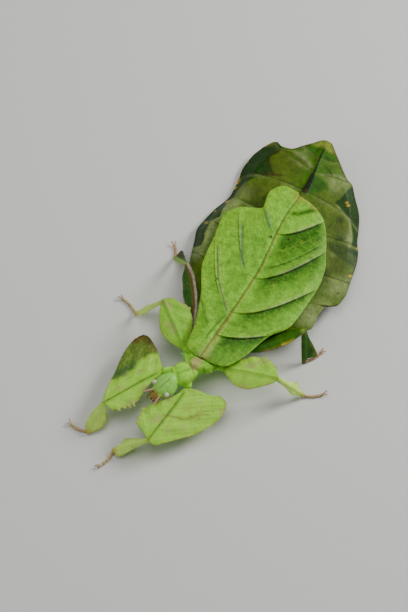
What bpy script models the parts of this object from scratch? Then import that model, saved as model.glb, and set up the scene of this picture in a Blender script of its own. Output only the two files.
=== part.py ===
"""Adult female leaf insect, life size, standing still on its six feet and the keel of its belly.

Lengths are millimetres until an object is made, where MM turns them to metres.
The head points to -Y, the tail to +Y, and the insect's left side is +X.
"""
import math

import bmesh
import bpy
import numpy as np

for old in list(bpy.data.objects):
    bpy.data.objects.remove(old, do_unlink=True)

MM = 0.001
GAP = 0.3
BODY_AT = (-1.06, -23.11)

# Forewings, which lie on the back like the two halves of a leaf
WING_THICK = 0.55
WING_HEIGHT = 12.8
WING_SLOPE = 0.072
WING_SIDE_DROOP = 1.3
WING_HALF = 19.0
WING_SWEEP = 1.7
MIDRIB_WIDTH = 1.1
MIDRIB_RISE = 0.4
VEIN_RISE = 0.25
VEIN_STEP = 0.012
FOLD_RISE = {"l": 0.9, "r": 0.35}
VEINS = (0.15, 0.30, 0.54, 0.78)
# Columns of a wing outside its midrib, how the folds flatten towards the margin, and the ridges
WING_COLUMNS = (0.2, 0.4, 0.6, 0.8, 1.0)
FOLD_FADE = 0.45
RIDGE_FADE = 0.6
# Where the two wings meet: y, x
WING_MIDLINE = ((0.6, 0.2), (12.0, 0.6), (27.0, 1.2), (36.0, 1.3), (43.0, 0.7), (51.0, -0.2), (58.0, -0.6),
                (66.7, 0.0))
# Along the wing: place, y at the midline, then x and y of the left and of the right margin
WING_ROWS = (
    (0.00, 0.6, 1.9, 0.6, -1.9, 0.6),
    (0.05, 2.6, 7.0, 1.6, -5.9, 2.4),
    (0.10, 6.0, 10.9, 7.0, -7.3, 10.0),
    (0.15, 9.2, 14.3, 17.0, -10.8, 20.0),
    (0.22, 13.5, 18.8, 25.0, -15.8, 30.5),
    (0.30, 18.5, 19.8, 39.5, -17.3, 41.0),
    (0.42, 25.5, 18.9, 46.5, -18.5, 48.6),
    (0.54, 32.5, 16.3, 52.6, -15.6, 53.8),
    (0.66, 41.0, 13.6, 58.0, -11.9, 55.5),
    (0.78, 50.0, 10.9, 62.0, -8.6, 57.5),
    (0.90, 59.0, 6.6, 65.1, -9.6, 63.4),
    (0.96, 63.5, 3.2, 66.2, -5.8, 68.0),
    (1.00, 66.6, 0.9, 66.5, -1.2, 67.7),
)

# Abdomen, a wide leaf-thin plate with the gut as a keel under its middle
ABDOMEN_EDGE = 0.8
SEGMENT_STEP = 0.3
BELLY_HALF = 9.5
BACK_DOME = 1.0
KEEL_RISE = 0.5
KEEL_HALF = 1.3
KEEL_START = 62.0
KEEL_RUN = 8.0
# Half width from which the margins droop in full, and where the dome of the back runs out
WIDE_HALF = 20.0
DOME_END = 90.5
DOME_RUN = 20.0
DOME_LEAST = 0.15
LAP_REACH = 0.95
# Hind edge of each segment: y at the midline, at the right and the left margin, and its bend
SEGMENT_EDGES = (
    (9.3, 9.3, 9.3, 1.5),
    (18.0, 22.0, 22.0, 1.5),
    (30.0, 35.0, 38.0, 2.0),
    (43.5, 47.5, 48.3, 1.5),
    (57.0, 58.1, 61.7, 1.5),
    (69.8, 67.0, 68.0, 3.0),
    (77.3, 80.8, 79.5, 1.2),
    (82.1, 84.4, 84.3, 1.5),
    (85.4, 86.2, 86.2, 2.0),
    (88.3, 88.3, 88.3, 2.0),
)
BODY_ROWS = (0.0, 0.17, 0.34, 0.5, 0.67, 0.84, 0.97)
TAIL_ROWS = (0.0, 0.04, 0.09, 0.2, 0.5, 0.95)
TAIL_SEGMENTS = 3
# Down the midline: y, x, height of the plate, depth of the belly under it
ABDOMEN_MIDLINE = (
    (9.3, 0.0, 8.3, 1.4),
    (20.0, 0.0, 8.2, 3.4),
    (30.0, 0.0, 7.6, 5.0),
    (42.0, 0.0, 6.6, 6.2),
    (52.0, 0.0, 5.9, 6.4),
    (62.0, 0.0, 5.5, 5.4),
    (71.0, 0.0, 5.9, 3.4),
    (77.0, -0.4, 6.6, 2.2),
    (85.0, -1.2, 7.8, 0.9),
    (88.3, -1.2, 8.4, 0.3),
)
# Distance of each margin from the midline, by y
RIGHT_MARGIN = (
    (9.3, 5.6), (14.0, 7.4), (18.0, 10.3), (22.0, 14.6), (26.0, 18.6), (30.6, 20.8), (38.3, 23.3),
    (43.8, 24.9), (47.9, 24.4), (51.7, 23.7), (59.6, 21.5), (65.1, 22.0), (70.5, 22.7),
    (75.4, 21.8), (79.4, 19.6), (80.8, 17.4), (81.1, 15.0), (81.7, 10.2), (83.9, 7.2),
    (86.2, 4.5), (87.6, 2.9), (88.3, 1.5),
)
LEFT_MARGIN = (
    (9.3, 5.6), (14.0, 7.4), (18.0, 10.3), (22.0, 15.0), (25.5, 21.2), (28.4, 24.0), (33.0, 23.7),
    (37.6, 24.2), (38.6, 26.6), (40.5, 27.6), (43.8, 27.9), (49.2, 27.0), (55.9, 25.8), (60.2, 24.2),
    (63.5, 22.3), (67.2, 20.9), (72.4, 18.5), (76.5, 15.2), (79.2, 12.8), (79.9, 11.2), (81.6, 9.2),
    (84.5, 6.0), (86.6, 3.5), (87.6, 2.4), (88.3, 1.4),
)
DROOP = {"r": 1.3, "l": 1.6}
# How far the margins fold down, and the share of the half width where the fold starts, by y
RIGHT_FOLD = ((9.3, 0.4, 0.8), (25.0, 2.4, 0.8), (45.0, 3.1, 0.83), (58.0, 2.9, 0.82), (68.0, 3.0, 0.75),
              (77.0, 3.0, 0.68), (83.0, 1.4, 0.66), (88.3, 0.1, 0.66))
LEFT_FOLD = ((9.3, 0.0, 0.8), (50.0, 0.0, 0.85), (60.0, 0.8, 0.85), (67.0, 2.2, 0.82), (77.0, 2.4, 0.72),
             (83.0, 1.2, 0.68), (88.3, 0.1, 0.66))
# Hind corners of the seventh segment: distance from the midline, and how far they stand out
CORNER = {"r": (16.2, 1.7), "l": (12.8, 0.8)}
CORNER_Y = 80.6
CORNER_HALF = 1.7
CORNER_RUN = 2.0
ABDOMEN_COLUMNS = (0.12, 0.24, 0.36, 0.5, 0.68, 0.82, 0.93, 1.0)

# Head and thorax
NECK = (-4.2, -7.3, 9.8)
HEAD_YAW = 20.0
HEAD_PITCH = 12.0
# Along the head from the neck: place, half width, half height
HEAD_PROFILE = ((0.15, 1.6, 1.5), (0.8, 2.2, 2.1), (2.4, 3.1, 2.7), (4.4, 3.5, 2.8), (6.2, 3.2, 2.5),
                (7.5, 2.4, 1.9), (8.2, 1.5, 1.1))
# Places on the head: forward of the neck, to the side, and up
EYE_AT = (6.1, 2.75, 1.45)
EYE_RADIUS = 0.8
ANTENNA_ROOT = (7.0, 1.1, 0.8)
ANTENNA_BASE = (8.3, 1.65, 1.5)
ANTENNA_BEADS = 6
BEAD_PITCH = 0.6
BEAD_HALF = 0.42
ANTENNA_SAG = 0.02
STUD_SIZES = (0.55, 0.45)
MOUTH_PATH = ((8.2 + GAP, 0, 0), (9.3, 0, -0.35), (10.2, 0, -0.9))
MOUTH_SIZES = ((1.9, 1.1), (1.6, 0.9), (0.8, 0.4))
PALP_PATH = ((9.0, 0.7, -0.3), (10.2, 1.5, -0.6), (11.0, 1.3, -1.3))
PALP_SIZES = (0.35, 0.35, 0.25)
WAIST = (-0.6, -3.5, 10.2)
CHEST_END = 4.5
HIP_END = 9.0
# Collar from waist to neck: share of the way, half width, half height
COLLAR_PROFILE = ((0.0, 2.2, 1.8), (0.32, 3.0, 2.2), (0.55, 3.3, 2.3), (0.8, 2.8, 2.0), (1.0, 1.9, 1.5))
# Middle chest, from the waist back: place, half width, top and underside
CHEST_PROFILE = ((0.0, 2.1, 12.0, 8.2), (1.2, 3.2, 12.7, 7.4), (2.4, 4.5, 12.6, 6.8), (3.75, 5.4, 12.3, 6.2),
                 (3.87, 5.45, 11.3, 6.1), (5.5, 5.9, 11.2, 5.7), (7.3, 6.0, 11.0, 5.6), (8.0, 5.7, 10.8, 5.8))
# Hind chest: y, half width, top and underside
HIND_CHEST_PROFILE = ((CHEST_END + GAP, 5.4, 10.8, 5.8), (6.6, 5.7, 10.8, 5.6), (HIP_END, 5.5, 10.3, 6.1))
CHEST_SPINES = 3
SPINE_START = 1.43
SPINE_PITCH = 1.13
SPINE_HEIGHT = 9.9
SPINE_RADIUS = 0.4
SPINE_REACH = 1.0
SPINE_SUNK = 0.8
# Half width of the chest at the first spine, and its growth from one spine to the next
SPINE_HALF = 3.3
SPINE_SPREAD = 0.95
COXA_SIZES = (1.4, 1.35, 1.1)

# Legs: a leaf-like thigh and shin round a thin shaft, and a jointed foot
SHAFT_HALF = 0.8
SHAFT_THICK = 1.4
LOBE_THICK = 0.7
LOBE_STEPS = (0.0, 0.34, 0.68, 1.0)
LOBE_DROOP = 0.6
# Share of a leg length over which its surface turns to the cut of the joint
JOINT_ZONE = 0.1
FOOT_RADIUS = 0.55
FOOT_JOINTS = 5
# Each joint of a foot starts narrow and widens: places along it, and the narrow share
JOINT_SPAN = (0.05, 0.75)
JOINT_NECK = 0.78
FOOT_TIP = 0.7
ANKLE_HEIGHT = 1.2
TOE_HEIGHT = 0.45
CLAW_LENGTH = 1.4
CLAW_SPREAD = 0.75
CLAW_SIZES = (0.3, 0.27, 0.1)
# How far each foot bends aside from a straight line
FOOT_BOW = {"fore_r": -0.6, "fore_l": -0.6, "mid_r": 0.5, "mid_l": 0.5, "hind_r": 0.3, "hind_l": 0.5}

# Colours of the living animal, linear red, green and blue
LEAF_GREEN = (0.23, 0.45, 0.04)
OLIVE_GREEN = (0.10, 0.20, 0.02)
DARK_GREEN = (0.04, 0.13, 0.01)
HEAD_GREEN = (0.14, 0.42, 0.09)
CREAM = (0.75, 0.66, 0.45)
TAN = (0.48, 0.30, 0.16)
BROWN = (0.13, 0.06, 0.03)


def vec(*xyz):
    return np.array(xyz, float)


def unit(v):
    return np.asarray(v, float) / np.linalg.norm(v)


def smooth(stations, at):
    """Read a curve without overshoot through rows of (place, value, ...) at each place."""
    rows = np.array(stations, float)
    at = np.clip(np.atleast_1d(np.asarray(at, float)), rows[0, 0], rows[-1, 0])
    place, value = rows[:, 0], rows[:, 1:]
    step = np.diff(place)[:, None]
    secant = np.diff(value, axis=0) / step
    product = secant[:-1] * secant[1:]
    total = np.where(product > 0, secant[:-1] + secant[1:], 1.0)
    inner = np.where(product > 0, 2 * product / total, 0.0)
    slope = np.vstack([secant[:1], inner, secant[-1:]])
    k = np.clip(np.searchsorted(place, at, side="right") - 1, 0, len(place) - 2)
    f = ((at - place[k]) / step[k, 0])[:, None]
    rise, fall = slope[k] * step[k], slope[k + 1] * step[k]
    return ((1 + 2 * f) * (1 - f) ** 2 * value[k] + f * (1 - f) ** 2 * rise
            + f ** 2 * (3 - 2 * f) * value[k + 1] - f ** 2 * (1 - f) * fall)


def paint(name, colour, roughness):
    """Give each object its own principled material."""
    material = bpy.data.materials.new(name)
    material.use_nodes = True
    shader = material.node_tree.nodes["Principled BSDF"]
    shader.inputs["Base Color"].default_value = (*colour, 1.0)
    shader.inputs["Roughness"].default_value = roughness
    shader.inputs["Metallic"].default_value = 0.0
    return material


def signed_volume(points, faces):
    """Six times the volume inside the faces, negative where they point inwards."""
    total = 0.0
    for face in faces:
        for second, third in zip(face[1:-1], face[2:]):
            total += np.dot(points[face[0]], np.cross(points[second], points[third]))
    return total


def make(name, shape, colour, roughness=0.6):
    """Make one closed object in metres from (points, faces), with its faces turned outwards."""
    points, faces = np.asarray(shape[0], float), shape[1]
    faces = [tuple(int(i) for i in face) for face in faces]
    if signed_volume(points - points.mean(axis=0), faces) < 0:
        faces = [face[::-1] for face in faces]
    placed = (points + vec(*BODY_AT, 0.0)) * MM
    mesh = bpy.data.meshes.new(name)
    mesh.from_pydata(placed.tolist(), [], faces)
    mesh.materials.append(paint(name + "_finish", colour, roughness))
    body = bpy.data.objects.new(name, mesh)
    bpy.context.scene.collection.objects.link(body)
    return body


def plate(top, bottom):
    """Close two grids of points into one plate, split into like triangles on both faces."""
    rows, cols = top.shape[:2]
    points = np.concatenate([top.reshape(-1, 3), bottom.reshape(-1, 3)])
    index = np.arange(rows * cols).reshape(rows, cols)
    a, b = index[:-1, :-1].ravel(), index[1:, :-1].ravel()
    c, d = index[1:, 1:].ravel(), index[:-1, 1:].ravel()
    upper = np.concatenate([np.stack([a, b, c], 1), np.stack([a, c, d], 1)])
    rim = np.concatenate([index[0, :-1], index[:-1, -1], index[-1, :0:-1], index[:0:-1, 0]])
    turn = np.roll(rim, -1)
    below = rows * cols
    edge = np.concatenate([np.stack([rim, turn, turn + below], 1),
                           np.stack([rim, turn + below, rim + below], 1)])
    return points, np.concatenate([upper, upper[:, ::-1] + below, edge])


def loft(rings):
    """Close a row of rings with the same number of points into one body with flat ends."""
    count, sides = rings.shape[:2]
    faces = [tuple(range(sides)), tuple(range(count * sides - 1, (count - 1) * sides - 1, -1))]
    for ring in range(count - 1):
        for side in range(sides):
            turn = (side + 1) % sides
            low, high = ring * sides, (ring + 1) * sides
            faces.append((low + turn, low + side, high + side))
            faces.append((low + turn, high + side, high + turn))
    return rings.reshape(-1, 3), faces


def mitre(points, along, anchor, normal):
    """Slide points along a direction onto the plane through the anchor."""
    reach = (anchor - points) @ normal / (along @ normal)
    return points + reach[..., None] * along


def tube(centres, sizes, sides=8, ends=(None, None), power=1.0, aside=None, heading=None):
    """Rings of half width and half height along a path; each end is cut square or to a normal.

    The rings stand square to the path, or all square to the heading where one is given.
    """
    centres, sizes = np.array(centres, float), np.array(sizes, float)
    if sizes.ndim == 1:
        sizes = np.stack([sizes, sizes], 1)
    along = np.gradient(centres, axis=0) if heading is None else np.tile(heading, (len(centres), 1))
    along /= np.linalg.norm(along, axis=1)[:, None]
    across = np.cross(along, vec(0, 0, 1)) if aside is None else np.tile(unit(aside), (len(along), 1))
    across -= along * np.sum(across * along, axis=1)[:, None]
    across /= np.linalg.norm(across, axis=1)[:, None]
    above = np.cross(across, along)
    turn = 2 * np.pi * (np.arange(sides) + 0.5) / sides
    x = np.sign(np.cos(turn)) * np.abs(np.cos(turn)) ** power
    y = np.sign(np.sin(turn)) * np.abs(np.sin(turn)) ** power
    rings = (centres[:, None] + across[:, None] * (sizes[:, :1] * x)[..., None]
             + above[:, None] * (sizes[:, 1:] * y)[..., None])
    for end, normal in zip((0, -1), ends):
        if normal is not None:
            rings[end] = mitre(rings[end], along[end], centres[end], normal)
    return loft(rings)


def largest_surface(mesh):
    """Keep only the largest closed surface of a mesh."""
    shape = bmesh.new()
    shape.from_mesh(mesh)
    waiting, parts = set(shape.faces), []
    while waiting:
        found, edge = set(), [waiting.pop()]
        while edge:
            face = edge.pop()
            found.add(face)
            near = {other for line in face.edges for other in line.link_faces} & waiting
            waiting -= near
            edge.extend(near)
        parts.append(found)
    parts.sort(key=lambda found: sum(face.calc_area() for face in found))
    scrap = [face for found in parts[:-1] for face in found]
    bmesh.ops.delete(shape, geom=scrap, context="FACES")
    shape.to_mesh(mesh)
    shape.free()


def combine(body, pieces, operation="UNION"):
    """Join closed pieces to a body, or cut them from it, by one Boolean on a collection."""
    group = bpy.data.collections.new(body.name + "_pieces")
    bpy.context.scene.collection.children.link(group)
    for number, piece in enumerate(pieces):
        item = make(f"{body.name}_piece_{number}", piece, BROWN)
        bpy.context.scene.collection.objects.unlink(item)
        group.objects.link(item)
    boolean = body.modifiers.new("pieces", "BOOLEAN")
    boolean.operand_type = "COLLECTION"
    boolean.collection = group
    boolean.operation = operation
    boolean.solver = "EXACT"
    view = bpy.context.evaluated_depsgraph_get()
    joined = bpy.data.meshes.new_from_object(body.evaluated_get(view))
    body.modifiers.remove(boolean)
    largest_surface(joined)
    finish = body.data.materials[0]
    body.data = joined
    joined.materials.clear()
    joined.materials.append(finish)
    for face in joined.polygons:
        face.material_index = 0
    for item in list(group.objects):
        bpy.data.objects.remove(item, do_unlink=True)
    bpy.data.collections.remove(group)
    return body


def spine(root, tip, radius, sides=4):
    """A small tapered spine with its root end sunk in what it grows from."""
    root, tip = vec(*root), vec(*tip)
    middle = (root + tip) / 2
    return tube([root, middle, tip], [radius, radius * 0.75, radius * 0.2], sides)


def make_wing(side):
    """One forewing: the skin steps up behind each vein, with the vein as a ridge on the step."""
    sign, first = (1, 2) if side == "l" else (-1, 4)
    edges = (0.0, *VEINS, 1.0)
    places = []
    for start, end in zip(edges[:-1], edges[1:]):
        step = VEIN_STEP if start else 0.0
        places += [start] if start else []
        places += list(np.linspace(start + step, end, 7 if end - start > 0.2 else 6)[:-1])
    places = np.array([*places, 1.0])
    mid_y = smooth([(row[0], row[1]) for row in WING_ROWS], places)[:, 0]
    margin = smooth([(row[0], row[first], row[first + 1]) for row in WING_ROWS], places)
    inner = smooth(WING_MIDLINE, mid_y) + sign * GAP / 2
    width = np.abs(margin[:, 0] - inner[:, 0])
    rib = np.minimum(MIDRIB_WIDTH / width, 0.3)
    columns = [rib + (1 - rib) * f for f in WING_COLUMNS]
    share = np.stack([0 * rib, rib * 0.6, rib, *columns], 1)
    x = inner + (margin[:, :1] - inner) * share
    y = mid_y[:, None] + (margin[:, 1:] - mid_y[:, None]) * share ** WING_SWEEP
    fold, ridge = np.zeros(len(places)), np.zeros(len(places))
    for start, end in zip(VEINS, edges[2:]):
        inside = (places > start + 1e-6) & (places <= end + 1e-6)
        fold[inside] = (end - places[inside]) / (end - start)
        ridge[np.isclose(places, start + VEIN_STEP)] = 1.0
    lift = (1 - (1 - share) ** 3) * (1 - FOLD_FADE * share ** 2)
    middle = (WING_HEIGHT - WING_SLOPE * y - WING_SIDE_DROOP * (x / WING_HALF) ** 2
              + FOLD_RISE[side] * fold[:, None] * lift)
    rise = VEIN_RISE * ridge[:, None] * (share > 0.01) * (1 - RIDGE_FADE * share)
    rise[:, :2] += MIDRIB_RISE * (1 - RIDGE_FADE * places[:, None])
    top = np.stack([x, y, middle + WING_THICK / 2 + rise], 2)
    bottom = np.stack([x, y, middle - WING_THICK / 2], 2)
    return make("tegmen_" + side, plate(top, bottom), LEAF_GREEN, 0.5)


def segment_rows():
    """Rows of the plate: y at the midline and the margins, the bend, and the lap over the next."""
    edges = np.array(SEGMENT_EDGES)
    rows = []
    for number, (front, hind) in enumerate(zip(edges[:-1], edges[1:])):
        tail = number >= len(edges) - 1 - TAIL_SEGMENTS
        for share in TAIL_ROWS if tail else BODY_ROWS:
            rows.append((*(front + (hind - front) * share), share * SEGMENT_STEP))
    rows.append((*edges[-1], 0.0))
    return np.array(rows).T[:, :, None]


def make_abdomen():
    """The abdomen: each segment laps over the next, its margins fold down, its belly is a keel."""
    mid_y, right_y, left_y, bend, lap = segment_rows()
    share = np.array([*(-s for s in reversed(ABDOMEN_COLUMNS)), 0.0, *ABDOMEN_COLUMNS])
    reach, on_right = np.abs(share), share < 0

    def of_side(right, left):
        return np.where(on_right, right, left)

    def curve(stations, at):
        values = smooth(stations, np.ravel(at)).T
        return values.reshape(-1, *np.shape(at))

    margin_y = of_side(right_y, left_y)
    y = mid_y + (margin_y - mid_y) * reach ** bend
    half = of_side(curve(RIGHT_MARGIN, right_y)[0], curve(LEFT_MARGIN, left_y)[0])
    x_mid, height, depth = curve(ABDOMEN_MIDLINE, y)
    x = x_mid + half * share
    off = np.abs(x - x_mid)
    fold, fold_start = of_side(curve(RIGHT_FOLD, right_y), curve(LEFT_FOLD, left_y))
    hang = np.clip((reach - fold_start) / (1 - fold_start), 0, 1)
    wide = np.clip(half / WIDE_HALF, 0, 1) ** 2
    droop = of_side(DROOP["r"], DROOP["l"]) * reach ** 2 + fold * hang ** 2 * (3 - 2 * hang)
    corner_at, corner_reach = of_side(CORNER["r"][0], CORNER["l"][0]), of_side(CORNER["r"][1], CORNER["l"][1])
    corner = np.exp(-((off - corner_at) / CORNER_HALF) ** 2 - ((margin_y - CORNER_Y) / CORNER_RUN) ** 2)
    middle = height - droop * wide
    keel = KEEL_RISE * np.exp(-(off / KEEL_HALF) ** 2) * np.clip((y - KEEL_START) / KEEL_RUN, 0, 1)
    dome = BACK_DOME * (1 - reach ** 2) * np.clip((DOME_END - y) / DOME_RUN, DOME_LEAST, 1)
    belly = depth * np.cos(np.pi / 2 * np.clip(off / BELLY_HALF, 0, 1)) ** 2
    above = middle + ABDOMEN_EDGE / 2 + dome + keel + lap * (reach < LAP_REACH)
    below = np.maximum(middle - ABDOMEN_EDGE / 2 - belly, 0.0)
    grid_y = y + corner_reach * corner
    shape = plate(np.stack([x, grid_y, above], 2), np.stack([x, grid_y, below], 2))
    return make("abdomen", shape, OLIVE_GREEN, 0.45)


def head_axes():
    """Forward, left and up of the head."""
    yaw, pitch = math.radians(HEAD_YAW), math.radians(HEAD_PITCH)
    ahead = vec(-math.sin(yaw) * math.cos(pitch), -math.cos(yaw) * math.cos(pitch), -math.sin(pitch))
    left = vec(math.cos(yaw), -math.sin(yaw), 0)
    return ahead, left, np.cross(ahead, left)


def make_head():
    """The rounded head with eye pits and antenna studs; eyes, antennae and mouth are apart."""
    ahead, left, up = head_axes()
    neck = vec(*NECK)

    def place(forward, aside, above):
        return neck + ahead * forward + left * aside + up * above

    centres = [place(row[0], 0, 0) for row in HEAD_PROFILE]
    neck_normal = unit(ahead + unit(neck - vec(*WAIST)))
    shape = tube(centres, [row[1:] for row in HEAD_PROFILE], 14, (neck_normal, None), aside=left)
    head = make("head", shape, HEAD_GREEN, 0.3)
    pits, studs = [], []
    for side, sign in (("l", 1), ("r", -1)):
        mirror = vec(1, sign, 1)
        centre = place(*(EYE_AT * mirror))
        make("eye_" + side, ball(centre, EYE_RADIUS, 8, 6), CREAM, 0.2)
        pits.append(ball(centre, EYE_RADIUS + GAP, 8, 6))
        root, tip = place(*(ANTENNA_ROOT * mirror)), place(*(ANTENNA_BASE * mirror))
        aim = unit(tip - root)
        studs.append(tube([root, tip], STUD_SIZES, 7))
        beads, sizes = [], []
        for bead in range(ANTENNA_BEADS):
            along = bead * BEAD_PITCH
            sag = vec(0, 0, -ANTENNA_SAG * along ** 2)
            beads += [tip + aim * (GAP + along) + sag, tip + aim * (GAP + along + 0.6 * BEAD_PITCH) + sag]
            sizes += [0.7 * BEAD_HALF, BEAD_HALF - 0.015 * bead]
        make("antenna_" + side, tube(beads, sizes, 6, (aim, None)), TAN, 0.5)
    combine(head, studs)
    combine(head, pits, "DIFFERENCE")
    mouth = tube([place(*at) for at in MOUTH_PATH], MOUTH_SIZES, 8, (ahead, None), aside=left)
    mouthparts = make("mouthparts", mouth, BROWN, 0.5)
    palps = []
    for sign in (1, -1):
        path = [place(*(at * vec(1, sign, 1))) for at in PALP_PATH]
        palps.append(tube(path, PALP_SIZES, 6))
    combine(mouthparts, palps)


def ball(centre, radius, sides, rings):
    """A sphere as a loft whose poles are small flats."""
    turn = np.linspace(0.18, math.pi - 0.18, rings)
    heights = np.cos(turn)
    centres = [centre + vec(0, 0, radius * h) for h in heights]
    return tube(centres, list(radius * np.sin(turn)), sides, aside=vec(1, 0, 0))


def leg_axes(start, end, lobe_toward):
    """Along, toward the rear lobe, and the side that faces up."""
    along = unit(end - start)
    lobe = vec(*lobe_toward)
    lobe = unit(lobe - along * (lobe @ along))
    face = np.cross(along, lobe)
    return along, lobe, face if face[2] >= 0 else -face


def tooth_places(start, end, count):
    """Valleys and tips of a row of teeth, by their place along the leg."""
    pitch = (end - start) / count
    return [start + pitch * (k + f) for k in range(count) for f in (0.0, 0.55)] + [end]


def tooth_height(places, start, end, count):
    """One at each tip and zero in each valley, with straight flanks."""
    phase = np.mod((places - start) / (end - start) * count + 1e-9, 1.0)
    height = np.where(phase < 0.55, phase / 0.55, (1 - phase) / 0.45)
    return np.where((places > start) & (places < end), np.clip(height, 0, 1), 0.0)


def leaf_limb(start, end, lobe_toward, rear, front, normals, teeth=(None, None), bow=0.0, count=12):
    """A leg length: a shaft with a thin lobe on each side.

    rear and front are rows of (place, distance along as a share, width of the lobe), and teeth
    gives (start, end, number, depth) of the teeth on each margin.
    """
    along, lobe, face = leg_axes(start, end, lobe_toward)
    length = np.linalg.norm(end - start)
    places = list(np.linspace(0, 1, count))
    for row in teeth:
        if row:
            fresh = tooth_places(*row[:3])
            places = [p for p in places if not row[0] - 0.02 < p < row[1] + 0.02] + fresh
    places = np.array(sorted(set(round(p, 6) for p in places)))
    margins = []
    for stations, row in ((rear, teeth[0]), (front, teeth[1])):
        far, width = smooth(stations, places).T
        if row:
            width = width + row[3] * tooth_height(places, *row[:3])
        margins.append((far * length, width))
    shaft = places * length
    columns = []
    for (far, width), sign in ((margins[1], -1), (margins[0], 1)):
        near = np.minimum(SHAFT_HALF, 0.6 * width)
        steps = [(near + (width - near) * f) / width for f in LOBE_STEPS]
        side = [(shaft + (far - shaft) * s, sign * width * s) for s in steps]
        columns += reversed(side) if sign < 0 else [(shaft, 0 * width), *side]
    a = np.stack([column[0] for column in columns], 1)
    b = np.stack([column[1] for column in columns], 1)
    half = np.full(len(columns), LOBE_THICK / 2)
    half[4] = SHAFT_THICK / 2
    widest = max(margins[0][1].max(), margins[1][1].max())
    c = bow * 4 * (places * (1 - places))[:, None] - LOBE_DROOP * (b / widest) ** 2
    centre = start + a[..., None] * along + b[..., None] * lobe + c[..., None] * face
    top, bottom = centre + (half[:, None] * face), centre - (half[:, None] * face)
    for surface in (top, bottom):
        for normal, anchor, weight in ((normals[0], start, np.clip(1 - places / JOINT_ZONE, 0, 1)),
                                       (normals[1], end, np.clip(1 - (1 - places) / JOINT_ZONE, 0, 1))):
            inset = anchor + normal * (GAP / 2) * (1 if anchor is start else -1)
            base = start + a[..., None] * along
            offset = surface - base
            slide = -(offset @ normal) / (along @ normal)
            shift = (inset - anchor) @ normal / (along @ normal)
            surface += ((slide + shift) * weight[:, None])[..., None] * along
    return plate(top, bottom)


def foot(ankle, toe, start_normal, bow):
    """Five short joints that lie on the floor, and two claws held up from the last."""
    places, sizes = [], []
    for joint in range(FOOT_JOINTS):
        places += [(joint + share) / FOOT_JOINTS for share in JOINT_SPAN]
        sizes += [FOOT_RADIUS * JOINT_NECK, FOOT_RADIUS]
    places, sizes = np.array([*places, 1.0]), [*sizes, FOOT_RADIUS * FOOT_TIP]
    places[0] = 0.0
    heading = toe - ankle
    aside = unit(np.cross(heading, vec(0, 0, 1)))
    path = ankle + places[:, None] * heading * vec(1, 1, 0)
    path += aside * (bow * np.sin(np.pi * places))[:, None]
    heights = ((0.0, ankle[2]), (0.25, TOE_HEIGHT), (0.85, TOE_HEIGHT), (1.0, TOE_HEIGHT + 0.35))
    path[:, 2] = smooth(heights, places)[:, 0]
    path[0] += start_normal * GAP / 2
    points, faces = tube(path, sizes, 8, (start_normal, None))
    points[:, 2] = np.maximum(points[:, 2], 0.0)
    ahead = unit(path[-1] - path[-3])
    claws = []
    for sign in (1, -1):
        root = path[-1] - ahead * 0.7 + vec(0, 0, 0.1)
        bend = path[-1] + ahead * 0.5 * CLAW_LENGTH + aside * sign * CLAW_SPREAD * 0.9 + vec(0, 0, 0.35)
        tip = path[-1] + ahead * 0.8 * CLAW_LENGTH + aside * sign * CLAW_SPREAD - vec(0, 0, 0.15)
        claws.append(tube([root, bend, tip], CLAW_SIZES, 5))
    return (points, faces), claws


FORE_OUTER = {
    "r": ((0.0, 0.0, 0.8), (0.065, -0.02, 2.8), (0.13, -0.08, 6.4), (0.18, -0.092, 9.4), (0.23, -0.09, 12.2),
          (0.31, -0.02, 14.5), (0.39, 0.10, 14.5), (0.50, 0.28, 13.0), (0.62, 0.46, 10.4), (0.75, 0.64, 7.3),
          (0.88, 0.83, 4.3), (0.96, 0.95, 1.8), (1.0, 1.0, 0.8)),
    "l": ((0.0, 0.0, 0.8), (0.06, -0.045, 4.6), (0.12, -0.11, 7.1), (0.18, -0.18, 9.6), (0.24, -0.17, 11.7),
          (0.30, -0.09, 13.0), (0.38, 0.05, 13.5), (0.50, 0.28, 12.5), (0.62, 0.50, 10.5), (0.78, 0.76, 6.6),
          (0.90, 0.92, 4.0), (0.97, 0.99, 2.2), (1.0, 1.0, 0.8)),
}
FORE_INNER = {
    "r": ((0.0, 0.0, 0.8), (0.15, 0.15, 1.0), (0.3, 0.30, 2.0), (0.45, 0.46, 3.7), (0.58, 0.59, 4.9),
          (0.7, 0.69, 4.8), (0.85, 0.85, 3.8), (0.95, 0.97, 3.0), (1.0, 1.0, 0.8)),
    "l": ((0.0, 0.0, 0.8), (0.15, 0.15, 1.2), (0.3, 0.30, 2.7), (0.45, 0.46, 4.9), (0.58, 0.60, 6.5),
          (0.7, 0.72, 6.6), (0.8, 0.82, 6.0), (0.9, 0.92, 4.8), (0.97, 0.985, 3.4), (1.0, 1.0, 0.8)),
}
MID_REAR = ((0.0, 0.0, 0.8), (0.12, 0.12, 2.2), (0.3, 0.30, 4.4), (0.5, 0.50, 5.8), (0.65, 0.66, 6.0),
            (0.8, 0.82, 4.6), (0.93, 0.95, 2.6), (1.0, 1.0, 0.8))
MID_FRONT = ((0.0, 0.0, 0.8), (0.12, 0.10, 2.6), (0.3, 0.27, 4.7), (0.48, 0.46, 5.5), (0.68, 0.68, 4.4),
             (0.85, 0.86, 2.8), (0.95, 0.96, 1.6), (1.0, 1.0, 0.8))
HIND_REAR = ((0.0, 0.0, 0.8), (0.2, 0.20, 1.2), (0.5, 0.50, 2.0), (0.8, 0.80, 1.9), (0.93, 0.94, 1.3),
             (1.0, 1.0, 0.8))
HIND_FRONT = ((0.0, 0.0, 0.8), (0.15, 0.14, 1.3), (0.4, 0.38, 3.1), (0.62, 0.60, 3.7), (0.8, 0.78, 3.2),
              (0.92, 0.92, 2.0), (1.0, 1.0, 0.8))
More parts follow.
